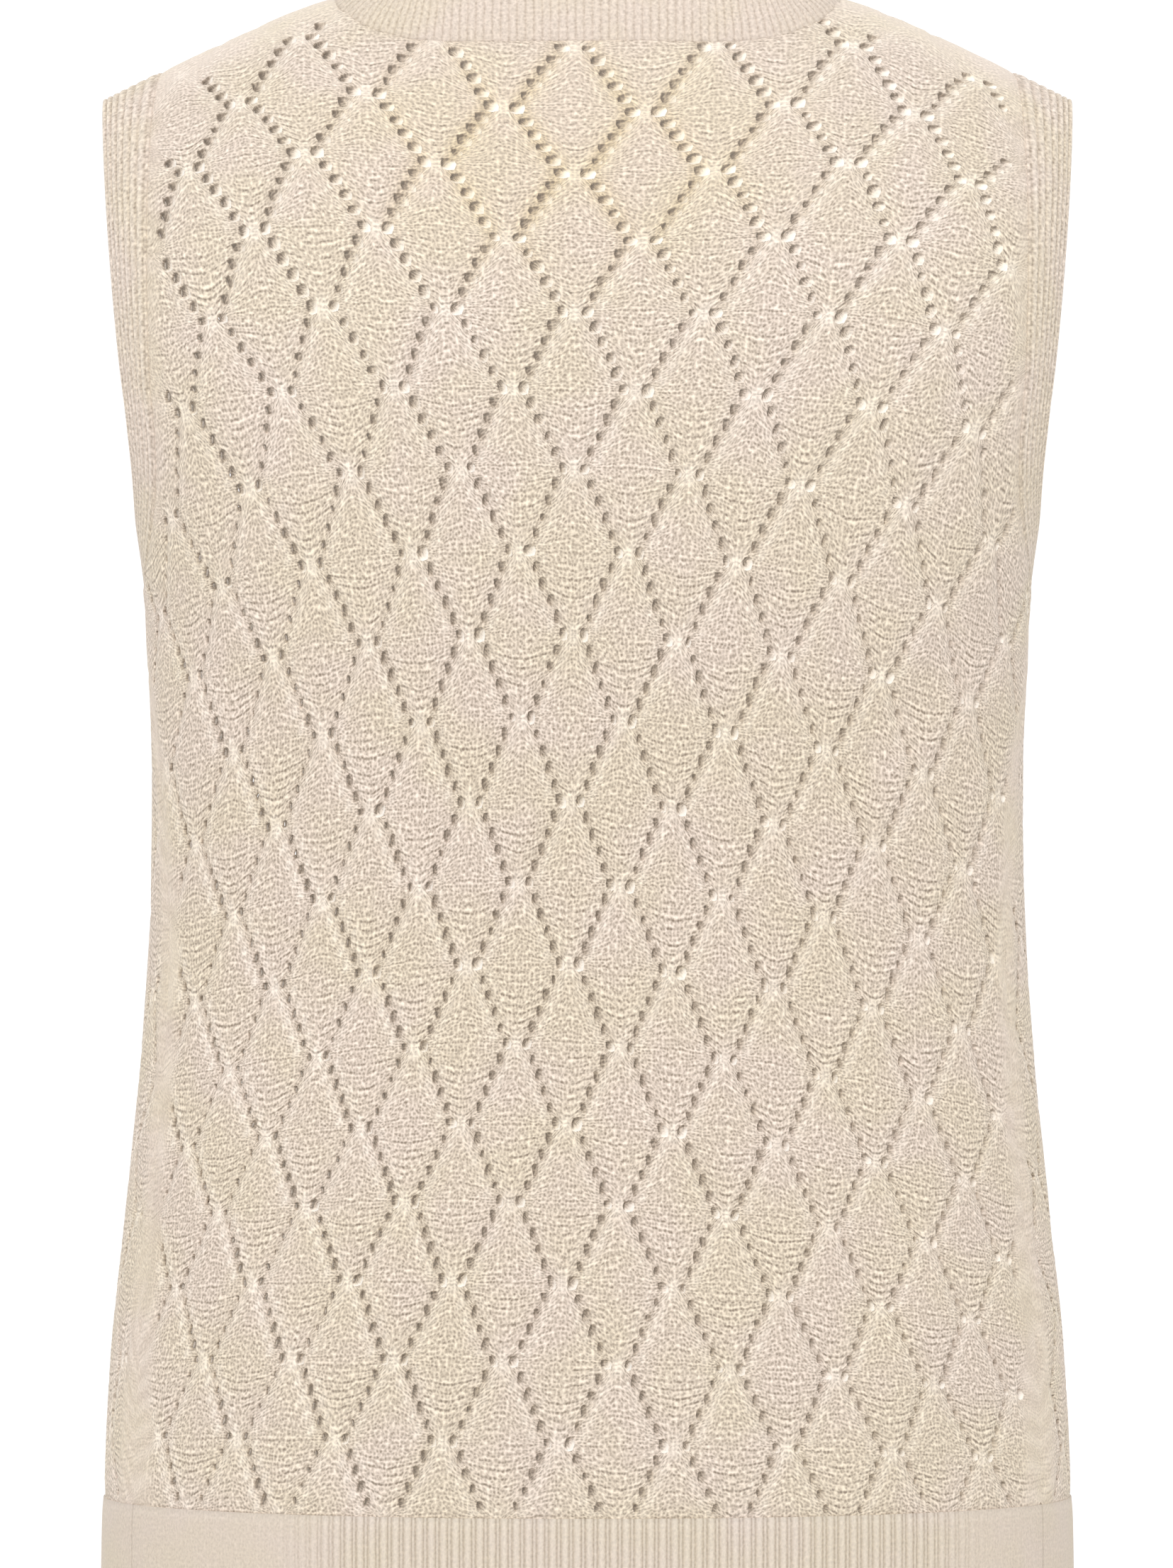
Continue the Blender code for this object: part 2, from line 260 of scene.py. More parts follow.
def lie_of_knit(face, stitch, step):
    """Where stitches lie on a face: angle and rise. The front's rows run on up to its own shoulders."""
    column, row = stitch / STITCHES, step / STEPS
    if face == "front":
        column = column + FRONT_SHIFT
    size = [smooth_column(KNIT_LIE, n, row) for n in range(8)]
    along = size[SHIFT] + column * (size[WIDTH] + size[NARROWING] * np.abs(column) - SIDE_DRAW * column)
    out = column if face == "back" else FRONT_SAG * column
    rise = size[RISE] + out * (size[LEAN] + out * (size[SAG] + size[EASING] * out * out))
    along, rise = along / 1000, rise / 1000
    if face == "front":
        extra = shoulder_rise("front") - shoulder_rise("back") - FRONT_LOWER
        rise = rise + FRONT_LOWER + extra * np.maximum(rise, 0) / shoulder_rise("back")
    return turned_by(face, along, rise), rise


def armhole_limit(face, edge, rise):
    """The angle of an armhole edge at some rises above its foot."""
    facts = FACES[face]
    tip, drop = (SEAM_TIP, SEAM_DROP) if edge == "seam" else (OPENING_TIP, OPENING_DROP)
    widest, start = facts[edge], facts["widest"]
    below = np.clip((start - rise) / drop, 0, 1)
    curve = 90 - (90 - widest) * np.sqrt(1 - below**2)
    share = (rise - start) / (shoulder_rise(face) - start)
    return np.where(rise < start, curve, widest + (shoulder_angle(face, tip) - widest) * share)


def neck_edge(face, share):
    """The rise of the neck's edge at some shares of its half width."""
    power, roundness = FACES[face]["neck_shape"]
    depth = FACES[face]["neck"] * (1 - np.clip(share, 0, 1) ** power) ** roundness
    return shoulder_rise(face) * np.arccos(depth) / (0.5 * math.pi)


def neck_rise(face, angle):
    """The rise of the panel's upper edge at some angles: the neck's curve, then the shoulder line."""
    return neck_edge(face, np.abs(angle) / shoulder_angle(face, NECK_HALF_WIDTH))


# At the sides one degree is about 3 mm of cloth.
METRES_PER_DEGREE = 0.003


def past_side(face, angle, rise):
    """About how far points lie beyond a panel's side seam or armhole, in metres; inside it is negative."""
    turn = FACES[face]["turn"]
    from_back = body_size(SEAM_ANGLE, rise + turn)
    seam = from_back if face == "back" else 180 - from_back
    side = np.where(rise + turn < UNDERARM, seam, armhole_limit(face, "seam", rise))
    return (np.abs(angle) - side) * METRES_PER_DEGREE


def past_edge(face, angle, rise):
    """How far points lie outside a panel's cut edges, in metres; inside it is negative."""
    turn = FACES[face]["turn"]
    return np.maximum.reduce(
        (
            past_side(face, angle, rise),
            rise - neck_rise(face, angle),
            (HEM_LINE - turn) - rise,
        )
    )


# A node has an eyelet 1.5 stitches to each side. From there the two lines of eyelets run down and apart by a
# stitch in each step. The three loops between a node's eyelets are drawn up into a bar.
NODE_HALF = 1.5
NARROWEST = 0.8
BAR_WIDTH = 0.9
BAR_HEIGHT = 0.45


def node_shift(row):
    """Every second row of nodes is shifted by half a diamond."""
    return np.where(row % 2 == 0, 0, STITCHES / 2)


def place_in_diamond(stitch, step, at_stitch=None, at_step=None):
    """Where stitches lie in their diamonds: across and down from -1 to 1, and stitches from its eyelet line.

    at_stitch and at_step say which diamond is meant, where it isn't the stitch's own."""
    at_stitch = stitch if at_stitch is None else at_stitch
    at_step = step if at_step is None else at_step
    row = np.floor(at_step / STEPS)
    into = at_step - row * STEPS
    shift = node_shift(row)
    node = np.round((at_stitch - shift) / STITCHES) * STITCHES + shift
    growing = np.abs(at_stitch - node) < NODE_HALF + into
    side = np.where(at_stitch >= node, 1, -1)
    middle = np.where(growing, node, node + side * STITCHES / 2)
    half = np.where(growing, NODE_HALF, STITCHES / 2 - NODE_HALF)
    half = half + np.where(growing, 1, -1) * (step - row * STEPS)
    across = (stitch - middle) / np.maximum(half, NARROWEST)
    down = (step - row * STEPS - np.where(growing, STEPS, 0)) / STEPS
    line = np.abs(np.abs(stitch - node) - (NODE_HALF + step - row * STEPS))
    return across, down, line


def between_nodes(stitch, step):
    """How near stitches are to the middle of a node's bar, from 0 to 1."""
    row = np.round(step / STEPS)
    shift = node_shift(row)
    across = stitch - shift - np.round((stitch - shift) / STITCHES) * STITCHES
    return np.exp(-((across / BAR_WIDTH) ** 2) - ((step - row * STEPS) / BAR_HEIGHT) ** 2)


# Soft creases of the worn cloth: ends (x, z), width and depth in mm, + stands proud.
CREASES = {
    "back": (
        (-168, -262, -95, -330, 13, -1.6),
        (-160, -285, -105, -345, 10, 1.1),
        (166, -258, 118, -318, 11, -1.3),
        (172, -300, 128, -372, 15, 0.9),
        (-150, -470, -118, -600, 17, 1.5),
        (-128, -500, -92, -612, 14, -1.3),
        (146, -455, 120, -610, 19, 1.4),
        (112, -520, 96, -618, 12, -1.0),
        (-60, -560, -48, -620, 13, 0.8),
        (38, -575, 30, -620, 15, -0.8),
        (-150, -130, -120, -205, 12, 0.9),
        (148, -120, 126, -188, 14, -0.9),
    ),
    "front": (
        (-160, -250, -88, -300, 14, -1.9),
        (-150, -282, -92, -322, 9, 1.2),
        (158, -255, 100, -318, 12, -1.5),
        (150, -290, 112, -350, 13, 1.2),
        (-140, -455, -104, -606, 18, 1.6),
        (-112, -510, -80, -616, 13, -1.4),
        (132, -480, 108, -612, 16, 1.3),
        (74, -540, 66, -618, 12, -0.9),
        (-52, -340, -10, -372, 16, -0.9),
        (46, -352, 92, -395, 13, 0.9),
    ),
}


def creased(face, points):
    """How far the creases lift the cloth at some points, in metres. They run out towards both ends."""
    lift = np.zeros(len(points))
    for x0, z0, x1, z1, width, depth in CREASES[face]:
        start, way = np.array((x0, z0)) / 1000, np.array((x1 - x0, z1 - z0)) / 1000
        place = points[:, (0, 2)] - start
        share = np.clip(place @ way / (way @ way), 0, 1)
        away = np.linalg.norm(place - share[:, None] * way, axis=1)
        fade = np.sin(math.pi * np.clip(0.12 + 0.76 * share, 0, 1)) ** 0.8
        lift += depth / 1000 * fade * np.exp(-((away * 1000 / width) ** 2))
    return lift


# Relief of the knit, in metres: a diamond's crown with a slight dip in its middle, the cord of doubled
# stitches beside each line of eyelets (its place is in stitches from the line), the dip between eyelets, and
# the roll of the selvedge. It all eases out to the panel's edges.
PILLOW = 0.0009
PILLOW_DIP = 0.3
RIDGE = 0.0003
CORD_PLACE = 1.35
LINE_DIP = 0.00035
SELVEDGE_ROLL = 0.0005
EDGE_EASE = 0.005

# Plain stitches, in metres: a selvedge beside the side seams, wider at the hem, with fine lengthwise ridges
# painted as pale and shaded stripes, and a margin beside the armholes, with ribs as wide as the band's,
# painted the same way.
SELVEDGE = 0.0065
SELVEDGE_RIDGE = 0.0011
ARMHOLE_MARGIN = 0.0065
MARGIN_RIB = 0.0031


def selvedge_width(height):
    """The selvedge's width at some heights; there is none beside the armhole."""
    widths = (1.6 * SELVEDGE, SELVEDGE, SELVEDGE, 0.0)
    return np.interp(height, (HEM_LINE, -0.50, UNDERARM, UNDERARM + 0.01), widths)


def selvedge(points, beyond):
    """1 on the plain stitches beside a side seam, 0 elsewhere."""
    within = np.clip((selvedge_width(points[:, 2]) + beyond) / 0.004 + 0.5, 0, 1)
    return within * np.clip((UNDERARM + 0.02 - points[:, 2]) / 0.03, 0, 1)


def armhole_margin(points, beyond):
    """1 on the plain stitches beside an armhole, 0 elsewhere."""
    within = np.clip((ARMHOLE_MARGIN + beyond) / 0.003 + 0.5, 0, 1)
    return within * np.clip((points[:, 2] - UNDERARM) / 0.02, 0, 1)


def knit_relief(face, stitch, step, points, outside, beyond):
    """How far the knit stands out: crowned diamonds, cords along the eyelet lines, selvedges and creases."""
    across, down, line = place_in_diamond(stitch, step)
    crown = np.cos(0.5 * math.pi * np.clip(np.abs(down), 0, 1)) ** 0.7
    crown = crown * np.maximum(1 - np.abs(across) ** 2.2, 0)
    core = np.exp(-((np.abs(across) / 0.30) ** 2) - ((down + 0.05) / 0.34) ** 2)
    relief = PILLOW * crown - PILLOW_DIP * PILLOW * core
    relief += RIDGE * np.exp(-(((line - CORD_PLACE) / 0.55) ** 2)) - LINE_DIP * np.exp(-((line / 0.5) ** 2))
    ease = np.clip(-outside / EDGE_EASE, 0, 1)
    relief *= ease * ease * (3 - 2 * ease)
    roll = SELVEDGE_ROLL * selvedge(points, beyond)
    return relief + roll + creased(face, points) * ease


# How much paler than the plain knit some stitches are painted. The cords get a painted highlight where the
# cloth is drawn aslant, on one side of the body more than on the other, and on the upper edges of the
# diamonds.
# The bars between nodes get a painted highlight, palest at the neck, and the plain cloth along the shoulders
# is a little paler too.
CORD_HIGHLIGHT = 0.02
SLANT_CORD_HIGHLIGHT = 0.05
DRAWN_CORD_HIGHLIGHT = 0.13
UPPER_CORD_HIGHLIGHT = 0.07
BAR_HIGHLIGHT = (0.22, 0.12)
SHOULDER_PALE = 0.12

# How much of the loops' grain the plain stitches hide, and the smooth cloth next to the neck.
SELVEDGE_PLAIN = 0.7
SHOULDER_PLAIN = 0.85
MARGIN_PLAIN = 0.5
NECK_PLAIN = 0.25

# A straw tint lies across the upper back, strongest along the eyelets: its middle and half size (x, z).
STRAW_MIDDLE = (0.010, -0.068)
STRAW_SIZE = (0.085, 0.050)


def shading(stitch, step, points, beyond):
    """Which stitches look paler or darker than the plain knit by painted highlights and shade, which are
    plain and which are straw.
    """
    across, down, line = place_in_diamond(stitch, step)
    x, z = points[:, 0], points[:, 2]
    side = selvedge(points, beyond)
    margin = armhole_margin(points, beyond)
    shoulder = np.clip((z - shoulder_line(x) + 0.020) / 0.022, 0, 1)

    # Painted highlights on the cords and on the bars between nodes.
    drawn = np.clip((np.abs(stitch) - 12) / 30, 0, 1) * np.clip((step - 25) / 30, 0, 1) * (stitch > 0)
    cord = np.where(across * down * stitch > 0, SLANT_CORD_HIGHLIGHT + DRAWN_CORD_HIGHLIGHT * drawn, CORD_HIGHLIGHT)
    cord = cord + UPPER_CORD_HIGHLIGHT * (down < 0)
    lit = cord * np.exp(-(((line - CORD_PLACE) / 0.40) ** 2))
    lit = lit + np.interp(step, (0, 50), BAR_HIGHLIGHT) * between_nodes(stitch, step)
    # Pale and shaded stripes paint the light and shade of the selvedge's ridges and of the margin's ribs.
    lit = lit * (1 - side) + side * (0.02 + 0.05 * np.cos(beyond / SELVEDGE_RIDGE * 2 * math.pi))
    lit = lit * (1 - margin) + margin * (0.01 + 0.04 * np.cos(beyond / MARGIN_RIB * 2 * math.pi))
    lit = lit * (1 - shoulder) + SHOULDER_PALE * shoulder

    smooth = np.interp(step, (0, 20), (NECK_PLAIN, 0.0))
    plain = np.maximum(SELVEDGE_PLAIN * side, MARGIN_PLAIN * margin)
    plain = np.maximum.reduce((plain, SHOULDER_PLAIN * shoulder, smooth))
    away = ((x - STRAW_MIDDLE[0]) / STRAW_SIZE[0]) ** 2 + ((z - STRAW_MIDDLE[1]) / STRAW_SIZE[1]) ** 2
    straw = np.exp(-(away**1.5)) * (0.2 + 0.6 * np.exp(-((line / 1.6) ** 2))) * (points[:, 1] > 0)
    return lit, plain, straw


def trimmed(faces, outside):
    """Faces cut where outside passes zero. New points are given as (point, point, share between them)."""
    kept, new_points, made = [], [], {}
    for face in faces:
        signs = [outside[v] > 0 for v in face]
        if not any(signs):
            kept.append(tuple(face))
            continue
        if all(signs):
            continue
        cut = []
        for a, b, a_out, b_out in zip(face, face[1:] + face[:1], signs, signs[1:] + signs[:1]):
            if not a_out:
                cut.append(a)
            if a_out != b_out:
                key = (min(a, b), max(a, b))
                if key not in made:
                    share = outside[key[0]] / (outside[key[0]] - outside[key[1]])
                    made[key] = len(outside) + len(new_points)
                    new_points.append((*key, share))
                cut.append(made[key])
        if len(cut) > 2:
            kept.append(tuple(cut))
    return kept, new_points


# An eyelet is built from rings of eight points, from its block of two stitches by one step inwards. Its
# mouth is a rounded square that stays inside the block. Shares of the block, and metres.
RING = [(-1, -1), (0, -1), (1, -1), (1, 0), (1, 1), (0, 1), (-1, 1), (-1, 0)]
SQUARE_EYELET = 3
WIDEST_EYELET = 0.95
TALLEST_EYELET = 0.97
LIP_DEPTH = -0.00012
EDGE_DEPTH = 0.0001
THROAT_DEPTH = 0.0012
END_DEPTH = 0.0026

# No two eyelets are alike: their sizes, slants and places vary, and some are much smaller. The front's are a
# little smaller too, and one that is pulled shut loses these shares of its width and height.
EYELET_WIDE = (0.78, 1.18)
EYELET_TALL = (0.74, 1.14)
EYELET_SLANT = 0.10
SLANT_VARIES = 0.14
PLACE_VARIES = (0.12, 0.06)
SMALL_ONES = 0.14
SMALL_SIZE = (0.7, 0.75)
FRONT_SIZE = 0.85
LOST_WHEN_SHUT = (0.5, 0.35)
MOST_WIDE = 0.94
MOST_TALL = 0.95

# Each pair is a value on closed cloth and what it gains on stretched cloth: the mouth's width and height, the
# shares of them left in the throat, the throat's lean, its painted shade, the painted highlight on the loop
# at the lower right on either line of eyelets, and what that highlight gains at a node.
MOUTH_WIDE = (0.54, 0.46)
MOUTH_TALL = (0.86, 0.02)
THROAT_WIDE = (0.86, -0.28)
THROAT_TALL = (0.90, -0.24)
THROAT_LEAN = (0.12, 0.22)
THROAT_SHADE = (0.12, 0.28)
LOOP_HIGHLIGHT = {-1: (0.08, 0.85), 1: (0.08, 0.35)}
NODE_HIGHLIGHT = (0.5, 0.5)

# At a node the cloth is stretched by at least a share in this range. An eyelet's blind end has these shares
# of its width and height.
NODE_STRETCH = (0.1, 0.6)
END_SIZE = (0.42, 0.55)

# Eyelets keep clear of the panel's edges, of the shoulder line and of the armholes, in metres.
EYELET_CLEAR = 0.0018
SHOULDER_CLEAR = 0.012
ARMHOLE_CLEAR = 0.008
FIRST_EYELETS = {"back": -STEPS, "front": -4 * STEPS}

# Towards the sides the cloth is drawn aslant, which pulls the eyelets shut on the lines that run outwards
# on their way down, and the upper ones on the others, more on one side of the body. Shares for the five
# eyelets from node to node.
OUTWARD_SHUT = (0.5, 1.0, 1.0, 1.0, 0.9)
INWARD_SHUT = (0.6, 0.9, 0.7, 0.2, 0.0)
OTHER_SIDE_SHUT = 0.6


def grown(pair, stretch):
    """A value from its value on closed cloth and its gain, at some stretch."""
    return pair[0] + pair[1] * stretch


def eyelet_rings(face, side, at_node, stretch, drawn_shut, random):
    """The rings of one eyelet: size (stitches, steps), middle, depth in metres, and its painted highlight and
    shade.

    Each is a short slanted tunnel between loops, with painted shade on its upper left and at its blind end.
    Where the cloth is stretched wide the painted highlight on the loop at its lower right is stronger."""
    if at_node:
        stretch = max(stretch, random.uniform(*NODE_STRETCH))
    wide = grown(MOUTH_WIDE, stretch) * random.uniform(*EYELET_WIDE)
    tall = grown(MOUTH_TALL, stretch) * random.uniform(*EYELET_TALL)
    if random.random() < SMALL_ONES:
        wide *= SMALL_SIZE[0]
        tall *= SMALL_SIZE[1]
    wide *= 1 - LOST_WHEN_SHUT[0] * drawn_shut
    tall *= 1 - LOST_WHEN_SHUT[1] * drawn_shut
    if face == "front":
        wide *= FRONT_SIZE
        tall *= FRONT_SIZE
    wide, tall = min(wide, MOST_WIDE), min(tall, MOST_TALL)
    pale = grown(LOOP_HIGHLIGHT[side], stretch)
    if at_node:
        pale += grown(NODE_HIGHLIGHT, stretch) * (1 - drawn_shut)
    dark = grown(THROAT_SHADE, stretch)
    lean = grown(THROAT_LEAN, stretch)
    throat = (wide * grown(THROAT_WIDE, stretch), tall * grown(THROAT_TALL, stretch))
    middle = (lean * wide, -0.6 * lean * tall)
    end = (wide * END_SIZE[0], tall * END_SIZE[1])
    end_middle = (middle[0] + 1.05 * (throat[0] + end[0]), middle[1] * 1.5)
    return [
        ((1.10 * wide, 1.04 * tall), (0.0, 0.0), LIP_DEPTH, 0.0, 0.0),
        ((wide, tall), (0.0, 0.0), EDGE_DEPTH, pale, dark),
        (throat, middle, THROAT_DEPTH, 0.4 * pale, dark + 0.2 * stretch),
        (end, end_middle, END_DEPTH, 0.0, 0.5 + 0.25 * stretch),
    ]


def eyelets_in_step(face, widest, k):
    """The eyelets of one step: middle in stitches, side of the node, and how far the cloth is stretched."""
    node_row, into = divmod(k, STEPS)
    shift = 0 if node_row % 2 == 0 else STITCHES // 2
    nodes = range(-widest // STITCHES - 1, widest // STITCHES + 2)
    pairs = [(node * STITCHES + shift, side) for node in nodes for side in (-1, 1)]
    places = [(node + side * (NODE_HALF + into), side) for node, side in pairs]
    places = [(middle, side) for middle, side in places if abs(middle) + 2 < widest]
    middles = np.array([middle for middle, _ in places])
    angles, rises = lie_of_knit(face, middles, np.full(len(places), float(k)))
    on_cloth = on_body(face, angles, rises)
    heights = on_cloth[:, 2]
    below_shoulder = shoulder_line(on_cloth[:, 0]) - heights
    clear = (past_edge(face, angles, rises) < -EYELET_CLEAR) & (below_shoulder > SHOULDER_CLEAR)
    beside_seam = EYELET_CLEAR + 0.8 * selvedge_width(heights)
    clear &= past_side(face, angles, rises) < -np.where(heights > UNDERARM, ARMHOLE_CLEAR, beside_seam)
    stretches = np.clip((rises + 0.06) / 0.16, 0, 1)
    return [(*place, stretch) for place, is_clear, stretch in zip(places, clear, stretches) if is_clear]


def shut_by_slant(middle, side, k):
    """How far the slant of the cloth pulls an eyelet shut, from 0 to 1."""
    outwards = side * middle > 0
    shares = OUTWARD_SHUT if outwards else INWARD_SHUT
    aside = np.clip((abs(middle) - (18 if outwards else 30)) / 20, 0, 1) * np.clip((k - 15) / 20, 0, 1)
    return aside * shares[k % STEPS] * (1.0 if middle > 0 else OTHER_SIDE_SHUT)


# A diamond's rows arch from side to side by this many rows, from the neck down, and more in its upper half.
ARCH_ROWS = (3.2, 2.6, 1.9)
UPPER_ARCH = 1.8


def scallops(stitch, step, down, across):
    """How strongly the painted shade of the rows' scalloped lines shows, most in the lower half of each
    diamond.
    """
    upper = np.interp(step, (0, 30), (0.7, 0.35))
    hanging = upper + (1 - upper) * np.clip((down + 0.1) / 0.5, 0, 1)
    hanging = hanging * np.clip((1.0 - np.abs(across)) / 0.2, 0, 1)
    middling = np.interp(step, (0, 30, 60), (0.75, 0.6, 0.75))
    return hanging * (middling * np.interp(np.abs(stitch), (10, 50), (0.8, 1.0)))


def cloth_mesh(name, points, faces, stitch, step, point_values):
    """A panel's mesh, with its stitches and rows as the knit UV and with values for the material."""
    used = sorted({v for f in faces for v in f})
    renumbered = {v: n for n, v in enumerate(used)}
    mesh = bpy.data.meshes.new(name)
    mesh.from_pydata(points[used].tolist(), [], [[renumbered[v] for v in f] for f in faces])
    corners = np.array([v for f in faces for v in f])
    sizes = np.array([len(f) for f in faces])
    starts = np.concatenate(([0], np.cumsum(sizes)[:-1]))
    middle_stitch = np.repeat(np.add.reduceat(stitch[corners], starts) / sizes, sizes)
    middle_step = np.repeat(np.add.reduceat(step[corners], starts) / sizes, sizes)
    across, down, _ = place_in_diamond(stitch[corners], step[corners], middle_stitch, middle_step)
    arch_rows = np.interp(middle_step, (0, 20, 50), ARCH_ROWS) * np.where(down < 0, UPPER_ARCH, 1.0)
    arch = arch_rows * np.clip(np.abs(across), 0, 1.2) ** 1.7 * np.tanh(5 * down)
    knit_uv = np.stack((stitch[corners], ROWS_IN_STEP * step[corners] + arch), axis=1)
    mesh.uv_layers.new(name="knit").data.foreach_set("uv", knit_uv.ravel())
    hanging = scallops(middle_stitch, middle_step, down, across)
    mesh.attributes.new("scallop", "FLOAT", "CORNER").data.foreach_set("value", hanging)
    for attribute, values in point_values.items():
        mesh.attributes.new(attribute, "FLOAT", "POINT").data.foreach_set("value", values[used])
    mesh.shade_smooth()
    return mesh


def pointelle_grid(face, widest, first_step, last_step, random):
    """A grid of stitches with a real eyelet in every yarn-over: its points' values, and its faces.

    The values are the points' places in stitches and steps, how deep they lie, and their painted highlight
    and shade."""
    columns = np.arange(-widest, widest + 1)
    rows = np.arange(2 * first_step - 1, 2 * last_step + 2)
    stitch = list(np.repeat(columns - 0.5, len(rows)))
    step = list(np.tile(rows / 2, len(columns)))
    sunk = [0.0] * len(stitch)
    tint = [0.0] * len(stitch)
    faces, taken = [], set()

    def corner(i, j):
        return (i + widest) * len(rows) + (j - rows[0])

    for k in range(FIRST_EYELETS[face], last_step + 1):
        for middle, side, stretch in eyelets_in_step(face, widest, k):
            i, j = int(round(middle - 0.5)), 2 * k
            ring_before = [corner(i + 1 + a, j + b) for a, b in RING]
            slant = -side * EYELET_SLANT + random.uniform(-SLANT_VARIES, SLANT_VARIES)
            off_x, off_y = (random.uniform(-most, most) for most in PLACE_VARIES)
            drawn_shut = shut_by_slant(middle, side, k)
            rings = eyelet_rings(face, side, k % STEPS == 0, stretch, drawn_shut, random)
            for size, centre, depth, pale, dark in rings:
                ring = []
                for a, b in RING:
                    length = (abs(a) ** SQUARE_EYELET + abs(b) ** SQUARE_EYELET) ** (1 / SQUARE_EYELET)
                    y = centre[1] + off_y + size[1] * b / length
                    x = centre[0] + off_x + size[0] * a / length + slant * y
                    if depth < END_DEPTH:
                        x = max(min(x, WIDEST_EYELET), -WIDEST_EYELET)
                    stitch.append(i + 0.5 + x)
                    step.append(k + 0.5 * max(min(y, TALLEST_EYELET), -TALLEST_EYELET))
                    sunk.append(depth)
                    # Each ring gets a painted highlight on its lower right and painted shade on its upper
                    # left; the blind end is painted dark all round.
                    lower_right = (b - a) / (math.hypot(a, b) * 1.41)
                    shade = pale * max(lower_right, 0) ** 0.7 - dark * max(-lower_right, 0) ** 0.5
                    tint.append(shade if depth < END_DEPTH else -dark)
                    ring.append(len(stitch) - 1)
                for n in range(8):
                    m = (n + 1) % 8
                    faces.append([ring_before[n], ring_before[m], ring[m], ring[n]])
                ring_before = ring
            taken.update(((i, j - 1), (i + 1, j - 1), (i, j), (i + 1, j)))
    for i in columns[:-1]:
        for j in rows[:-1]:
            if (i, j) not in taken:
                faces.append([corner(i, j), corner(i + 1, j), corner(i + 1, j + 1), corner(i, j + 1)])
    return [np.array(values) for values in (stitch, step, sunk, tint)], faces


def knit_panel(name, face, widest, first_step, last_step, seed):
    """A panel of pointelle, laid on the body as it hangs and cut to its outline."""
    random = np.random.default_rng(seed)
    (stitch, step, sunk, tint), faces = pointelle_grid(face, widest, first_step, last_step, random)
    angle, rise = lie_of_knit(face, stitch, step)
    outside = past_edge(face, angle, rise)
    faces, cuts = trimmed(faces, outside)
    flat_points = on_body(face, angle, rise)
    beyond = past_side(face, angle, rise)
    lift = knit_relief(face, stitch, step, flat_points, outside, beyond) - sunk
    points = flat_points + outward(face, angle, rise) * lift[:, None]
    lit, plain, straw = shading(stitch, step, flat_points, beyond)
    lit = lit + tint

    def with_cuts(values):
        extra = [values[a] + (values[b] - values[a]) * share for a, b, share in cuts]
        return np.concatenate((values, np.array(extra).reshape((len(extra),) + values.shape[1:])))

    points, stitch, step = with_cuts(points), with_cuts(stitch), with_cuts(step)
    point_values = {"lit": with_cuts(lit), "plain": with_cuts(plain), "straw": with_cuts(straw)}
    mesh = cloth_mesh(name, points, faces, stitch, step, point_values)
    panel = bpy.data.objects.new(name, mesh)
    bpy.context.collection.objects.link(panel)
    facing = np.cross(points[faces[0][1]] - points[faces[0][0]], points[faces[0][2]] - points[faces[0][0]])
    if facing[1] * FACES[face]["sign"] < 0:
        mesh.flip_normals()
    return panel


def linear(colour):
    """A hex colour as linear red, green, blue and alpha."""
    channels = [int(colour[n : n + 2], 16) / 255 for n in (1, 3, 5)]
    return (*(c / 12.92 if c <= 0.04045 else ((c + 0.055) / 1.055) ** 2.4 for c in channels), 1.0)


def add(material, kind, inputs=None, **settings):
    """One node of a material, with its settings and its inputs, which are values or other nodes' outputs."""
    node = material.node_tree.nodes.new("ShaderNode" + kind)
    for setting, value in settings.items():
        setattr(node, setting, value)
    for socket, value in (inputs or {}).items():
        if isinstance(value, bpy.types.NodeSocket):
            material.node_tree.links.new(value, node.inputs[socket])
        else:
            node.inputs[socket].default_value = value
    return node


# Combed cotton yarn, knitted fine and steamed: it is matt, with a faint pale bloom at the edges from its
# loose fibres. No two loops lie quite alike, which gives the plain knit its grain, and its rows show as
# faint arches; grain and rows are drawn as random tone mixed with painted shade in the gaps between loops.
# Light goes through the thin cloth, so its inside and its eyelets aren't dark.
COTTON_PINK = "#FFEFE2"
COTTON_GOLD = "#FDEFD9"
COTTON_STRAW = "#F8E2B4"
# COTTON_SHADE is painted shade, for gaps between loops, rows, rib grooves and eyelets; COTTON_PALE is the
# painted highlight's colour.
COTTON_SHADE = "#7B6B5C"
COTTON_PALE = "#FFFDF8"
LIGHT_THROUGH = 0.22

# Loops are 0.8 to 1.2 mm wide: a stitch of the eyelet pattern, 2.5 to 3.6 mm, spans three of them, and a
# row, 2.2 mm, spans two. The gaps between loops, darkened with painted shade, would be too fine to show, so
# they are drawn two thirds coarser, 1.4 to 2 mm apart. The last number is for a third direction, which the
# flat cloth doesn't have.
LOOPS_IN_STITCH = (3.0, 2.0, 1.0)
GAPS_IN_STITCH = (1.8, 1.2, 1.0)
GAP_SIZE = 0.46

# A scalloped line of painted shade shows for each row and a half. The loops wander 13 times in 50 mm, a line
# breaks 19 times in 100 mm, and the yarn's dye changes seven times in 250 mm.
LINES_IN_ROW = 0.63
SCALLOP_SHADE = 0.7
WANDER_MM = 50 / 13
BREAKS_MM = 100 / 19
MOTTLE_MM = 250 / 7


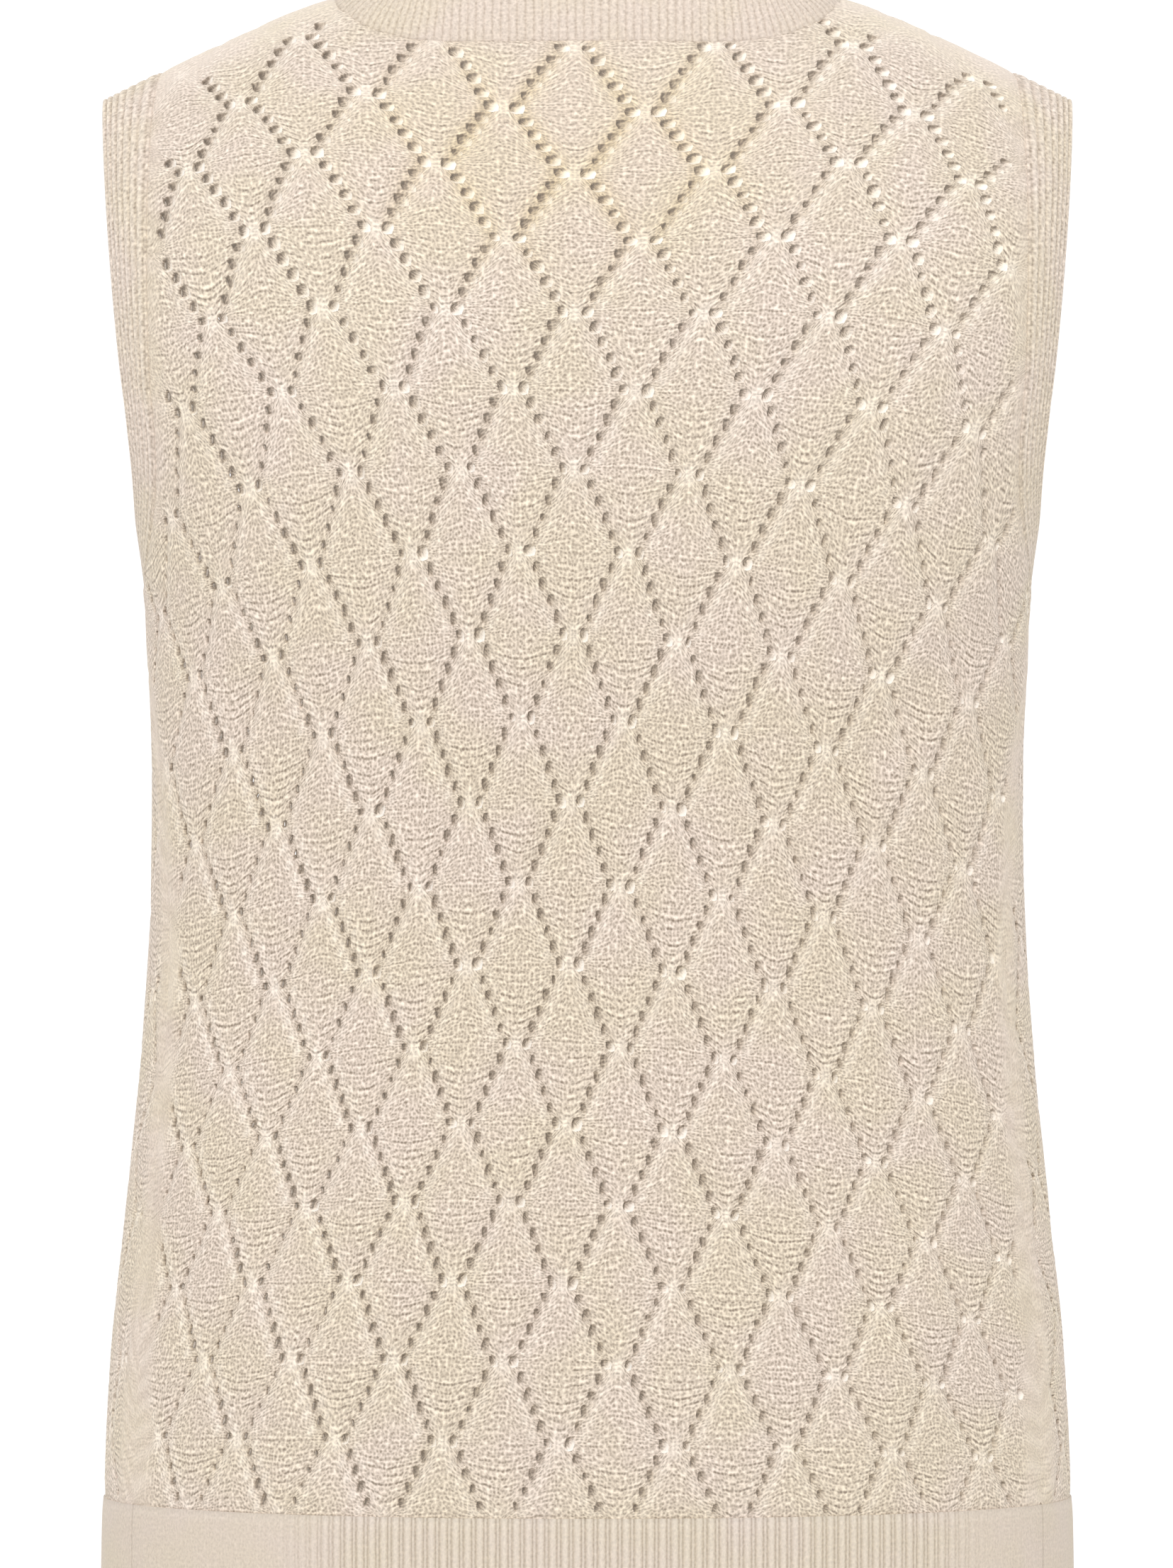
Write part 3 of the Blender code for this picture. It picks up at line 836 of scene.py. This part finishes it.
def cotton_knit(name, gaps_show, rows_show, grain, bump_mm, tone):
    """Cotton knit whose loops follow the knit UV: one unit across is a stitch and one unit down is a row.

    gaps_show, rows_show and grain say how strongly each shows, and tone how pale the yarn is, from 0 to 1.
    The points' "lit" makes yarn paler or darker with painted light and shade, and their "plain" hides the
    grain of the loops."""
    material = bpy.data.materials.new(name)
    material.use_nodes = True
    shader = material.node_tree.nodes["Principled BSDF"]
    shader.inputs["Roughness"].default_value = 0.88
    shader.inputs["IOR"].default_value = 1.5
    shader.inputs["Specular IOR Level"].default_value = 0.25
    shader.inputs["Sheen Weight"].default_value = 0.2
    shader.inputs["Sheen Roughness"].default_value = 0.5
    shader.inputs["Sheen Tint"].default_value = linear("#FFFAF0")
    link = material.node_tree.links.new

    place = add(material, "UVMap", uv_map="knit").outputs["UV"]
    body = add(material, "TexCoord").outputs["Object"]
    lit = add(material, "Attribute", attribute_name="lit").outputs["Fac"]
    plain = add(material, "Attribute", attribute_name="plain").outputs["Fac"]
    scallop = add(material, "Attribute", attribute_name="scallop").outputs["Fac"]
    wander = add(material, "TexNoise", {"Vector": body, "Scale": 1000 / WANDER_MM, "Detail": 2.0})
    wander = wander.outputs["Color"]
    shaken = add(material, "VectorMath", {0: wander, 1: (0.5, 0.5, 0.5)}, operation="SUBTRACT")
    shaken = add(material, "VectorMath", {0: shaken.outputs[0], "Scale": 0.4}, operation="SCALE")
    place = add(material, "VectorMath", {0: place, 1: shaken.outputs[0]}, operation="ADD").outputs[0]

    # Loops with small gaps between them darkened by painted shade, no two alike.
    axes = add(material, "SeparateXYZ", {0: place})
    gaps = add(material, "VectorMath", {0: place, 1: GAPS_IN_STITCH}, operation="MULTIPLY").outputs[0]
    gaps = add(material, "TexVoronoi", {"Vector": gaps, "Scale": 1.0, "Randomness": 0.75},
               voronoi_dimensions="2D").outputs["Distance"]
    gaps = add(material, "Math", {0: gaps, 1: GAP_SIZE}, operation="SUBTRACT").outputs[0]
    loop = add(material, "VectorMath", {0: place, 1: LOOPS_IN_STITCH}, operation="MULTIPLY").outputs[0]
    loop = add(material, "TexNoise", {"Vector": loop, "Scale": 1.0, "Detail": 1.0, "Roughness": 0.5})
    loop = add(material, "Math", {0: loop.outputs["Fac"], 1: 0.5}, operation="SUBTRACT").outputs[0]
    loop = add(material, "Math", {0: loop, 1: grain}, operation="MULTIPLY").outputs[0]
    loop = add(material, "Math", {0: gaps, 1: gaps_show, 2: loop}, operation="MULTIPLY_ADD").outputs[0]

    # Rows drawn down between the eyelets show as thin scalloped lines of painted shade, broken here and
    # there.
    rows = axes.outputs["Y"]
    hang = add(material, "Math", {0: rows, 1: math.pi * LINES_IN_ROW}, operation="MULTIPLY").outputs[0]
    hang = add(material, "Math", {0: hang}, operation="SINE").outputs[0]
    hang = add(material, "Math", {0: hang, 1: 6.0}, operation="POWER").outputs[0]
    hang = add(material, "Math", {0: hang, 1: 0.3}, operation="SUBTRACT").outputs[0]
    broken = add(material, "TexNoise", {"Vector": body, "Scale": 1000 / BREAKS_MM, "Detail": 1.0})
    broken = broken.outputs["Fac"]
    broken = add(material, "MapRange", {"Value": broken, "From Min": 0.35, "From Max": 0.6}).outputs[0]
    hang = add(material, "Math", {0: hang, 1: broken}, operation="MULTIPLY").outputs[0]
    hang = add(material, "Math", {0: hang, 1: scallop}, operation="MULTIPLY").outputs[0]
    loop = add(material, "Math", {0: hang, 1: -SCALLOP_SHADE, 2: loop}, operation="MULTIPLY_ADD").outputs[0]
    each = add(material, "Math", {0: rows, 1: 2 * math.pi}, operation="MULTIPLY").outputs[0]
    each = add(material, "Math", {0: each}, operation="COSINE").outputs[0]
    loop = add(material, "Math", {0: each, 1: rows_show, 2: loop}, operation="MULTIPLY_ADD").outputs[0]

    # Painted light and shade: paler and darker yarn where the grain isn't hidden, and as the points' "lit"
    # says.
    shown = add(material, "MapRange", {"Value": plain, "To Min": 1.0, "To Max": 0.15}).outputs[0]
    height = add(material, "Math", {0: loop, 1: shown, 2: tone}, operation="MULTIPLY_ADD").outputs[0]
    depth = add(material, "Math", {0: height, 1: lit}, operation="ADD", use_clamp=True).outputs[0]
    painted_highlight = add(material, "Math", {0: lit, 1: 0.9}, operation="MULTIPLY", use_clamp=True).outputs[0]

    # The dye is a little uneven: pinkish and golden patches. A straw tint lies where the points say so.
    mottle = add(material, "TexNoise", {"Vector": body, "Scale": 1000 / MOTTLE_MM, "Detail": 2.0})
    mottle = mottle.outputs["Fac"]
    mottle = add(material, "MapRange", {"Value": mottle, "From Min": 0.38, "From Max": 0.62}).outputs[0]
    hue = add(material, "Mix", {"Factor": mottle, "A": linear(COTTON_PINK), "B": linear(COTTON_GOLD)},
              data_type="RGBA").outputs["Result"]
    straw = add(material, "Attribute", attribute_name="straw").outputs["Fac"]
    hue = add(material, "Mix", {"Factor": straw, "A": hue, "B": linear(COTTON_STRAW)},
              data_type="RGBA").outputs["Result"]
    # Painted shade mixes in from COTTON_SHADE, and painted highlight from COTTON_PALE.
    colour = add(material, "Mix", {"Factor": depth, "A": linear(COTTON_SHADE), "B": hue},
                 data_type="RGBA").outputs["Result"]
    colour = add(material, "Mix", {"Factor": painted_highlight, "A": colour, "B": linear(COTTON_PALE)},
                 data_type="RGBA").outputs["Result"]
    link(colour, shader.inputs["Base Color"])

    # The loops stand up a little, and light comes through the cloth.
    bump = add(material, "Bump", {"Height": height, "Strength": 0.5, "Distance": bump_mm / 1000})
    link(bump.outputs["Normal"], shader.inputs["Normal"])
    through = add(material, "BsdfTranslucent", {"Color": linear(COTTON_PALE)}).outputs["BSDF"]
    both = add(material, "MixShader", {0: LIGHT_THROUGH, 1: shader.outputs["BSDF"], 2: through})
    link(both.outputs["Shader"], material.node_tree.nodes["Material Output"].inputs["Surface"])
    return material


pointelle = cotton_knit(
    "combed_cotton_pointelle", gaps_show=0.9, rows_show=0.06, grain=0.9, bump_mm=0.5, tone=0.56
)
back_panel = knit_panel("back_panel_knit", "back", widest=92, first_step=-14, last_step=97, seed=11)
back_panel.data.materials.append(pointelle)
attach(back_panel, "root")
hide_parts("back_panel")


# ---- the front panel ----
# The front is the same pointelle on the same count of stitches to the diamond, cut lower at the neck. It
# wraps round the sides to seams that lie a little behind them.
front_panel = knit_panel("front_panel_knit", "front", widest=128, first_step=-20, last_step=97, seed=23)
front_panel.data.materials.append(pointelle)
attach(front_panel, "root")
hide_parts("front_panel")


# ---- the hem ribs ----
# Each panel is finished below by a band of rib, knitted on in one with it: a broad column of stitches, a
# deep groove and a thin column between, which draw the cloth up into upright cords.
HEM_EDGE = -0.676
HEM_RIB_MM = 4.9
RIB_ROW_MM = 2.3

# Two cords in each rib (middle, half width and height, as shares of the rib), and in metres: how deep the
# grooves are, how thick the wall is, how far the rib laps over the panel, and over what fall it comes up to
# its full depth.
HEM_COLUMNS = ((0.33, 0.36, 1.0), (0.85, 0.17, 0.9))
HEM_DEPTH = 0.0010
HEM_WALL = 0.0016
HEM_LAP = 0.0008
HEM_SETTLE = 0.006

# The rib lies smooth towards the side seams, from these shares of the way to its left and right ends, and it
# stops just short of the seams.
SMOOTH_FROM = (0.63, 0.84)
SMOOTH_RIB = 0.08
SHORT_OF_SEAM = 0.9992

# Painted shade darkens the grooves and a painted highlight lightens the cords, and the whole rib is a little
# paler and less saturated than the plain knit.
GROOVE_SHADE = 0.35
MEAN_CORD = 0.8
RIB_PALER = 0.14


def swept(name, points, uvs, lit, material, closed):
    """A closed skin through a grid of points: rows go round the band's thickness, columns along it."""
    rows, columns = points.shape[:2]
    spans = columns if closed else columns - 1
    faces, face_uvs = [], []

    def next_uv(i, j, n):
        return uvs[i, n] if n > j else 2 * uvs[i, j] - uvs[i, j - 1]

    for i in range(rows):
        for j in range(spans):
            k, n = (i + 1) % rows, (j + 1) % columns
            faces.append((i * columns + j, i * columns + n, k * columns + n, k * columns + j))
            face_uvs += [uvs[i, j], next_uv(i, j, n), next_uv(k, j, n), uvs[k, j]]
    if not closed:
        for j, around in ((0, range(rows)), (columns - 1, range(rows - 1, -1, -1))):
            faces.append(tuple(i * columns + j for i in around))
            face_uvs += [uvs[i, j] for i in around]
    mesh = bpy.data.meshes.new(name)
    mesh.from_pydata(points.reshape(-1, 3).tolist(), [], faces)
    mesh.uv_layers.new(name="knit").data.foreach_set("uv", np.array(face_uvs, float).ravel())
    mesh.attributes.new("lit", "FLOAT", "POINT").data.foreach_set("value", lit.ravel())
    mesh.shade_smooth()
    mesh.materials.append(material)
    work = bmesh.new()
    work.from_mesh(mesh)
    bmesh.ops.recalc_face_normals(work, faces=work.faces)
    work.to_mesh(mesh)
    work.free()
    band = bpy.data.objects.new(name, mesh)
    bpy.context.collection.objects.link(band)
    return band


def rib_shape(place, columns):
    """Height across one repeat of rib: columns are (middle, half width, height) as shares of the repeat."""
    place = place % 1.0
    height = np.zeros_like(place)
    for middle, half, tall in columns:
        away = np.abs((place - middle + 0.5) % 1.0 - 0.5) / half
        height = np.maximum(height, tall * np.sqrt(np.clip(1 - away**2, 0, 1)))
    return height


def lengths_along(points):
    """The length from the first point of a line to each of its points."""
    return np.concatenate(([0], np.cumsum(np.linalg.norm(np.diff(points, axis=0), axis=1))))


def hem_rib(name, face):
    """A hem rib on one face, from just over the panel's lower edge down to its rounded end."""
    turn = FACES[face]["turn"]
    top = HEM_LINE + HEM_LAP
    heights = np.concatenate((np.linspace(top, HEM_EDGE + 0.001, 13), [HEM_EDGE + 0.0003]))
    profile = [(h, 1) for h in heights] + [(HEM_EDGE, 0.5)] + [(h, 0) for h in heights[::-1]]
    samples = 10
    edge = body_size(SEAM_ANGLE, np.array([z for z, _ in profile]))
    edge = edge if face == "back" else 180 - edge
    seam_line = on_body(face, np.linspace(0, float(edge[0]), 400), np.full(400, HEM_LINE - turn))
    ribs = int(round(2 * lengths_along(seam_line)[-1] * 1000 / HEM_RIB_MM))
    count = ribs * samples + 1
    across = np.linspace(-1, 1, count)
    crisp = np.clip((np.where(across > 0, *SMOOTH_FROM) - np.abs(across)) / 0.15, 0, 1)
    crisp = SMOOTH_RIB + (1 - SMOOTH_RIB) * crisp
    shape = MEAN_CORD + crisp * (rib_shape(np.arange(count) / samples, HEM_COLUMNS) - MEAN_CORD)
    tall = HEM_DEPTH * shape
    lit = RIB_PALER + np.tile(GROOVE_SHADE * (shape - MEAN_CORD), (len(profile), 1))
    points = np.zeros((len(profile), count, 3))
    uvs = np.zeros((len(profile), count, 2))
    for n, (height, outer) in enumerate(profile):
        rise = np.full(count, height - turn)
        turns = np.linspace(0, edge[n], 300)
        lengths = lengths_along(on_body(face, turns, np.full(300, height - turn)))
        angle = np.interp(np.abs(across) * lengths[-1] * SHORT_OF_SEAM, lengths, turns) * np.sign(across)
        settle = min(1.0, (top - height) / HEM_SETTLE)
        outside = 0.0004 + tall * (0.55 + 0.45 * settle)
        lift = outer * outside - (1 - outer) * (HEM_WALL - 0.4 * tall)
        points[n] = on_body(face, angle, rise) + outward(face, angle, rise) * lift[:, None]
        uvs[n, :, 0] = np.arange(count) / samples * 2
        uvs[n, :, 1] = -height * 1000 / RIB_ROW_MM
    return swept(name, points, uvs, lit, rib, closed=False)


rib = cotton_knit("combed_cotton_rib", gaps_show=0.17, rows_show=0.0, grain=0.42, bump_mm=0.3, tone=0.385)
for face, cad_node, cut_width in (("back", "hem_rib_back", 0.44), ("front", "hem_rib_front", 0.58)):
    hem = hem_rib(cad_node + "_knit", face)
    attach(hem, "root")
    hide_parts(cad_node)


# ---- the neck band ----
# A strip of fine rib, linked stitch by stitch to the neck's edge and turned up so that it stands a little
# towards the neck. A soft fold runs along its middle.
NECK_RIB_MM = 3.4
NECK_BAND_MM = 22.5
NECK_COLUMNS = ((0.5, 0.46, 1.0),)

# It starts 1 mm under the seam and leans in more and more on its way up, most over the shoulders. Its corners
# ease out as it is knitted in a ring.
NECK_LAP_MM = 1.0
UPRIGHT_UNDER_SEAM = 0.1
UPRIGHT_AT_SEAM = 0.78
UPRIGHT_LOST = 0.46
SHOULDER_LEAN = 0.6
CORNER_EASE = 30

# Its cords are crispest a little above the seam, and towards the rim they flatten to this share.
CRISPEST_MM = 5.5
CRISP_WIDTH_MM = 6.0
FLAT_CORDS = 0.45

# Half its thickness and the height of its cords in metres, and its fold in mm from the seam.
NECK_HALF_WALL = 0.0009
NECK_CORD = 0.0004
FOLD_MM = 11.0
FOLD_WIDTH_MM = 1.6
FOLD_DEPTH = 0.00035


def resampled(values, lengths, places):
    """Values given round a closed ring, at other places along its length."""
    columns = [np.interp(places, lengths, np.append(values[:, n], values[0, n])) for n in range(3)]
    return np.stack(columns, axis=1)


def neck_ring(count):
    """Points round both panels' neck edges, evenly spaced, and the outward directions there."""
    around = 0.5 * math.pi * np.linspace(-1, 1, 400)
    points, normals = [], []
    for face, way in (("back", 1), ("front", -1)):
        angle = way * shoulder_angle(face, NECK_HALF_WIDTH) * np.sin(around)
        rise = neck_edge(face, np.abs(np.sin(around)))
        points.append(on_body(face, angle, rise)[:-1])
        normals.append(outward(face, angle, rise)[:-1])
    points, normals = np.concatenate(points), np.concatenate(normals)
    lengths = lengths_along(np.concatenate((points, points[:1])))
    places = np.linspace(0, lengths[-1], count, endpoint=False)
    return resampled(points, lengths, places), resampled(normals, lengths, places), lengths[-1]


def unit(vectors):
    """Directions of length 1."""
    return vectors / np.linalg.norm(vectors, axis=-1, keepdims=True)


def smoothed(values, times):
    """Values round a ring, each drawn a number of times towards its neighbours."""
    for _ in range(times):
        values = (np.roll(values, 1, axis=0) + 2 * values + np.roll(values, -1, axis=0)) / 4
    return values


def neck_path(seam, normals, widths):
    """The middle of the band at some widths from the seam, the directions out of it, and its rim."""
    tangent = unit(np.roll(seam, -1, axis=0) - np.roll(seam, 1, axis=0))
    inward = unit(np.cross(tangent, normals))
    path, out = [seam + inward * widths[0]], []
    for n, width in enumerate(widths):
        share = np.clip((width * 1000) / NECK_BAND_MM, 0, 1)
        turned = UPRIGHT_AT_SEAM - UPRIGHT_LOST * share**1.5 if width > 0 else UPRIGHT_UNDER_SEAM
        upright = turned * (1 - SHOULDER_LEAN * tangent[:, 1:2] ** 2)
        way = unit(inward + np.array((0, 0, 1)) * smoothed(upright, 60))
        out.append(unit(np.cross(way, tangent)))
        if n + 1 < len(widths):
            path.append(smoothed(path[-1] + way * (widths[n + 1] - width), CORNER_EASE))
    return path, out, path[-1] + way * 0.00025


def neck_band(name):
    """The neck's band, row by row of its knitting from the seam to the rim, and back down its inside."""
    samples = 6
    _, _, length = neck_ring(100)
    count = int(round(length * 1000 / NECK_RIB_MM)) * samples
    seam, normals, _ = neck_ring(count)
    widths = np.concatenate((np.linspace(-NECK_LAP_MM, NECK_BAND_MM - 0.8, 16), [NECK_BAND_MM - 0.25])) / 1000
    path, out, rim = neck_path(smoothed(seam, 30), unit(smoothed(normals, 40)), widths)
    shape = rib_shape(np.arange(count) / samples, NECK_COLUMNS)
    tall = NECK_CORD * shape
    rows, row_uvs = [], []
    for n, place in enumerate(path):
        at = widths[n] * 1000
        crisp = FLAT_CORDS + (1 - FLAT_CORDS) * math.exp(-(((at - CRISPEST_MM) / CRISP_WIDTH_MM) ** 2))
        fold = FOLD_DEPTH * math.exp(-(((at - FOLD_MM) / FOLD_WIDTH_MM) ** 2))
        rounding = 0.45 if n == len(path) - 1 else 0.15 + 0.85 * np.clip((at + 1) / 4, 0, 1)
        lift = rounding * (NECK_HALF_WALL + tall * crisp - fold)
        rows.append(place + out[n] * lift[:, None])
        row_uvs.append(at / RIB_ROW_MM)
    rows.append(rim - out[-1] * 0.0002)
    row_uvs.append(row_uvs[-1] + 0.3)
    for n in reversed(range(len(path))):
        rounding = 0.6 if n in (0, len(path) - 1) else 1.0
        rows.append(path[n] - out[n] * (rounding * (NECK_HALF_WALL + 0.6 * tall))[:, None])
        row_uvs.append(widths[n] * 1000 / RIB_ROW_MM)
    points = np.stack(rows)
    uvs = np.zeros(points.shape[:2] + (2,))
    uvs[:, :, 0] = np.arange(count)[None, :] / samples
    uvs[:, :, 1] = np.array(row_uvs)[:, None]
    lit = NECK_PALER + np.tile(NECK_GROOVE_SHADE * (shape - MEAN_CORD), (len(rows), 1))
    return swept(name, points, uvs, lit, band_rib, closed=True), length


# Its rib is finer than the hem's, so the painted shade in its grooves is weaker.
NECK_PALER = 0.07
NECK_GROOVE_SHADE = 0.36 * GROOVE_SHADE
band_rib = cotton_knit(
    "combed_cotton_band_rib", gaps_show=0.25, rows_show=0.0, grain=0.6, bump_mm=0.3, tone=0.485
)
neck, neck_length = neck_band("neck_band_rib")
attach(neck, "root")
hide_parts("neck_band")


# ---- the armhole bands ----
# A strip of rib goes round each armhole with its cords running lengthwise, from a linked seam on the
# panels out to the opening.
ARMHOLE_RIBS = 7
ARMHOLE_COLUMNS = ((0.5, 0.46, 1.0),)
# The band is a little paler than the plain knit, with painted shade in its grooves and painted highlight on
# its cords.
ARMHOLE_PALER = 0.08
ARMHOLE_GROOVE_SHADE = 0.24
ARMHOLE_ROWS_AROUND = 420

# In metres: how far the band stands out, the height of its cords, and how far its inside lies in.
ARMHOLE_STAND = 0.0005
ARMHOLE_CORD = 0.0008
ARMHOLE_INSIDE = 0.0015


def armhole_edges():
    """Angle and rise of stations round an armhole, at its seam and at its opening, back then front."""
    stations = []
    for face, places in (("back", np.linspace(0, 1, 260)), ("front", np.linspace(1, 0, 260)[1:-1])):
        facts = FACES[face]
        low = places < 1 / 3
        swing = 0.5 * math.pi * (1 - places * 3)
        share = (places - 1 / 3) * 1.5
        pair = []
        for edge, tip, drop in (("seam", SEAM_TIP, SEAM_DROP), ("opening", OPENING_TIP, OPENING_DROP)):
            foot, start = facts[edge], facts["widest"]
            top, full = shoulder_angle(face, tip), shoulder_rise(face)
            angle = np.where(low, 90 - (90 - foot) * np.cos(swing), foot + (top - foot) * share)
            rise = np.where(low, start - drop * np.sin(swing), start + (full - start) * share)
            pair.append((angle, rise))
        stations.append((face, pair))
    return stations


def armhole_band(name, side):
    """An armhole's band, cord by cord from the seam to the opening, and back over its inside."""
    stations = armhole_edges()
    shares = np.concatenate((np.linspace(-0.04, 0.975, ARMHOLE_RIBS * 6 + 1), [0.995]))

    def ring(share):
        points, normals = [], []
        for face, ((seam_angle, seam_rise), (open_angle, open_rise)) in stations:
            angle = seam_angle + (open_angle - seam_angle) * share
            rise = seam_rise + (open_rise - seam_rise) * share
            points.append(on_body(face, angle, rise))
            normals.append(outward(face, angle, rise))
        return np.concatenate(points), np.concatenate(normals)

    base, _ = ring(0.5)
    lengths = lengths_along(np.concatenate((base, base[:1])))
    places = np.linspace(0, lengths[-1], ARMHOLE_ROWS_AROUND, endpoint=False)
    rows, uv_rows, lit_rows, outer = [], [], [], []
    for n, share in enumerate(shares):
        points, normals = (smoothed(resampled(values, lengths, places), 4) for values in ring(share))
        normals = unit(normals)
        outer.append((points, normals))
        shape = float(rib_shape(np.array(share * ARMHOLE_RIBS), ARMHOLE_COLUMNS))
        rounding = 0.4 if n in (0, len(shares) - 1) else 1.0
        stands = 0.25 + 0.75 * np.clip((points[:, 2] - UNDERARM) / 0.06, 0, 1)
        rows.append(points + normals * (rounding * stands * (ARMHOLE_STAND + ARMHOLE_CORD * shape))[:, None])
        uv_rows.append(share * ARMHOLE_RIBS)
        lit_rows.append(ARMHOLE_PALER + ARMHOLE_GROOVE_SHADE * (shape - MEAN_CORD))
    points, normals = outer[-1]
    rows.append(points + (points - outer[-2][0]) * 0.4 - normals * 0.0004)
    uv_rows.append(shares[-1] * ARMHOLE_RIBS + 0.2)
    lit_rows.append(0.0)
    for n in reversed(range(0, len(shares), 3)):
        points, normals = outer[n]
        rows.append(points - normals * ARMHOLE_INSIDE)
        uv_rows.append(shares[n] * ARMHOLE_RIBS)
        lit_rows.append(0.0)
    points = np.stack(rows)
    points[:, :, 0] *= side
    uvs = np.zeros(points.shape[:2] + (2,))
    uvs[:, :, 0] = np.array(uv_rows)[:, None]
    uvs[:, :, 1] = (places * 1000 / RIB_ROW_MM)[None, :]
    lit = np.tile(np.array(lit_rows)[:, None], (1, points.shape[1]))
    return swept(name, points, uvs, lit, armhole_rib, closed=True), lengths[-1]


armhole_rib = cotton_knit(
    "combed_cotton_armhole_rib", gaps_show=0.55, rows_show=0.0, grain=1.0, bump_mm=0.3, tone=0.53
)
for side, cad_node in ((1, "armhole_band_left"), (-1, "armhole_band_right")):
    band, band_length = armhole_band(cad_node + "_rib", side)
    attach(band, "root")
    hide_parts(cad_node)


# ---- the floor and the light ----
# A pale painted studio floor lies well below the hanging vest. The room is white all round, and one large
# soft lamp hangs high between the viewer and the vest, a little to the left.
FLOOR_HEIGHT = -1.05
FLOOR_RADIUS = 1.3
FLOOR_CORNERS = 64
floor_mesh = bpy.data.meshes.new("studio_floor")
turns = np.linspace(0, 2 * math.pi, FLOOR_CORNERS + 1)[:-1]
edge = [(FLOOR_RADIUS * math.cos(a), FLOOR_RADIUS * math.sin(a), FLOOR_HEIGHT) for a in turns]
floor_mesh.from_pydata(edge, [], [tuple(range(FLOOR_CORNERS))])
floor = bpy.data.objects.new("studio_floor", floor_mesh)
bpy.context.collection.objects.link(floor)
paint = bpy.data.materials.new("matt_floor_paint")
paint.use_nodes = True
paint.node_tree.nodes["Principled BSDF"].inputs["Base Color"].default_value = linear("#DCD9D2")
paint.node_tree.nodes["Principled BSDF"].inputs["Roughness"].default_value = 0.7
floor_mesh.materials.append(paint)

world = bpy.data.worlds.new("white_room")
world.use_nodes = True
world.node_tree.nodes["Background"].inputs["Color"].default_value = (1.0, 1.0, 1.0, 1.0)
world.node_tree.nodes["Background"].inputs["Strength"].default_value = 1.09
bpy.context.scene.world = world

AIM_HEIGHT = -0.33
lamp = bpy.data.lights.new("soft_lamp", "AREA")
lamp.size = 1.0
lamp.energy = 28.0
lamp.color = (1.0, 0.985, 0.96)
lamp_stand = bpy.data.objects.new("soft_lamp", lamp)
lamp_stand.location = (0.2, 2.4, 1.1)
aim = Vector((0, 0, AIM_HEIGHT)) - lamp_stand.location
lamp_stand.rotation_euler = aim.to_track_quat("-Z", "Y").to_euler()
bpy.context.collection.objects.link(lamp_stand)

bpy.context.view_layer.update()
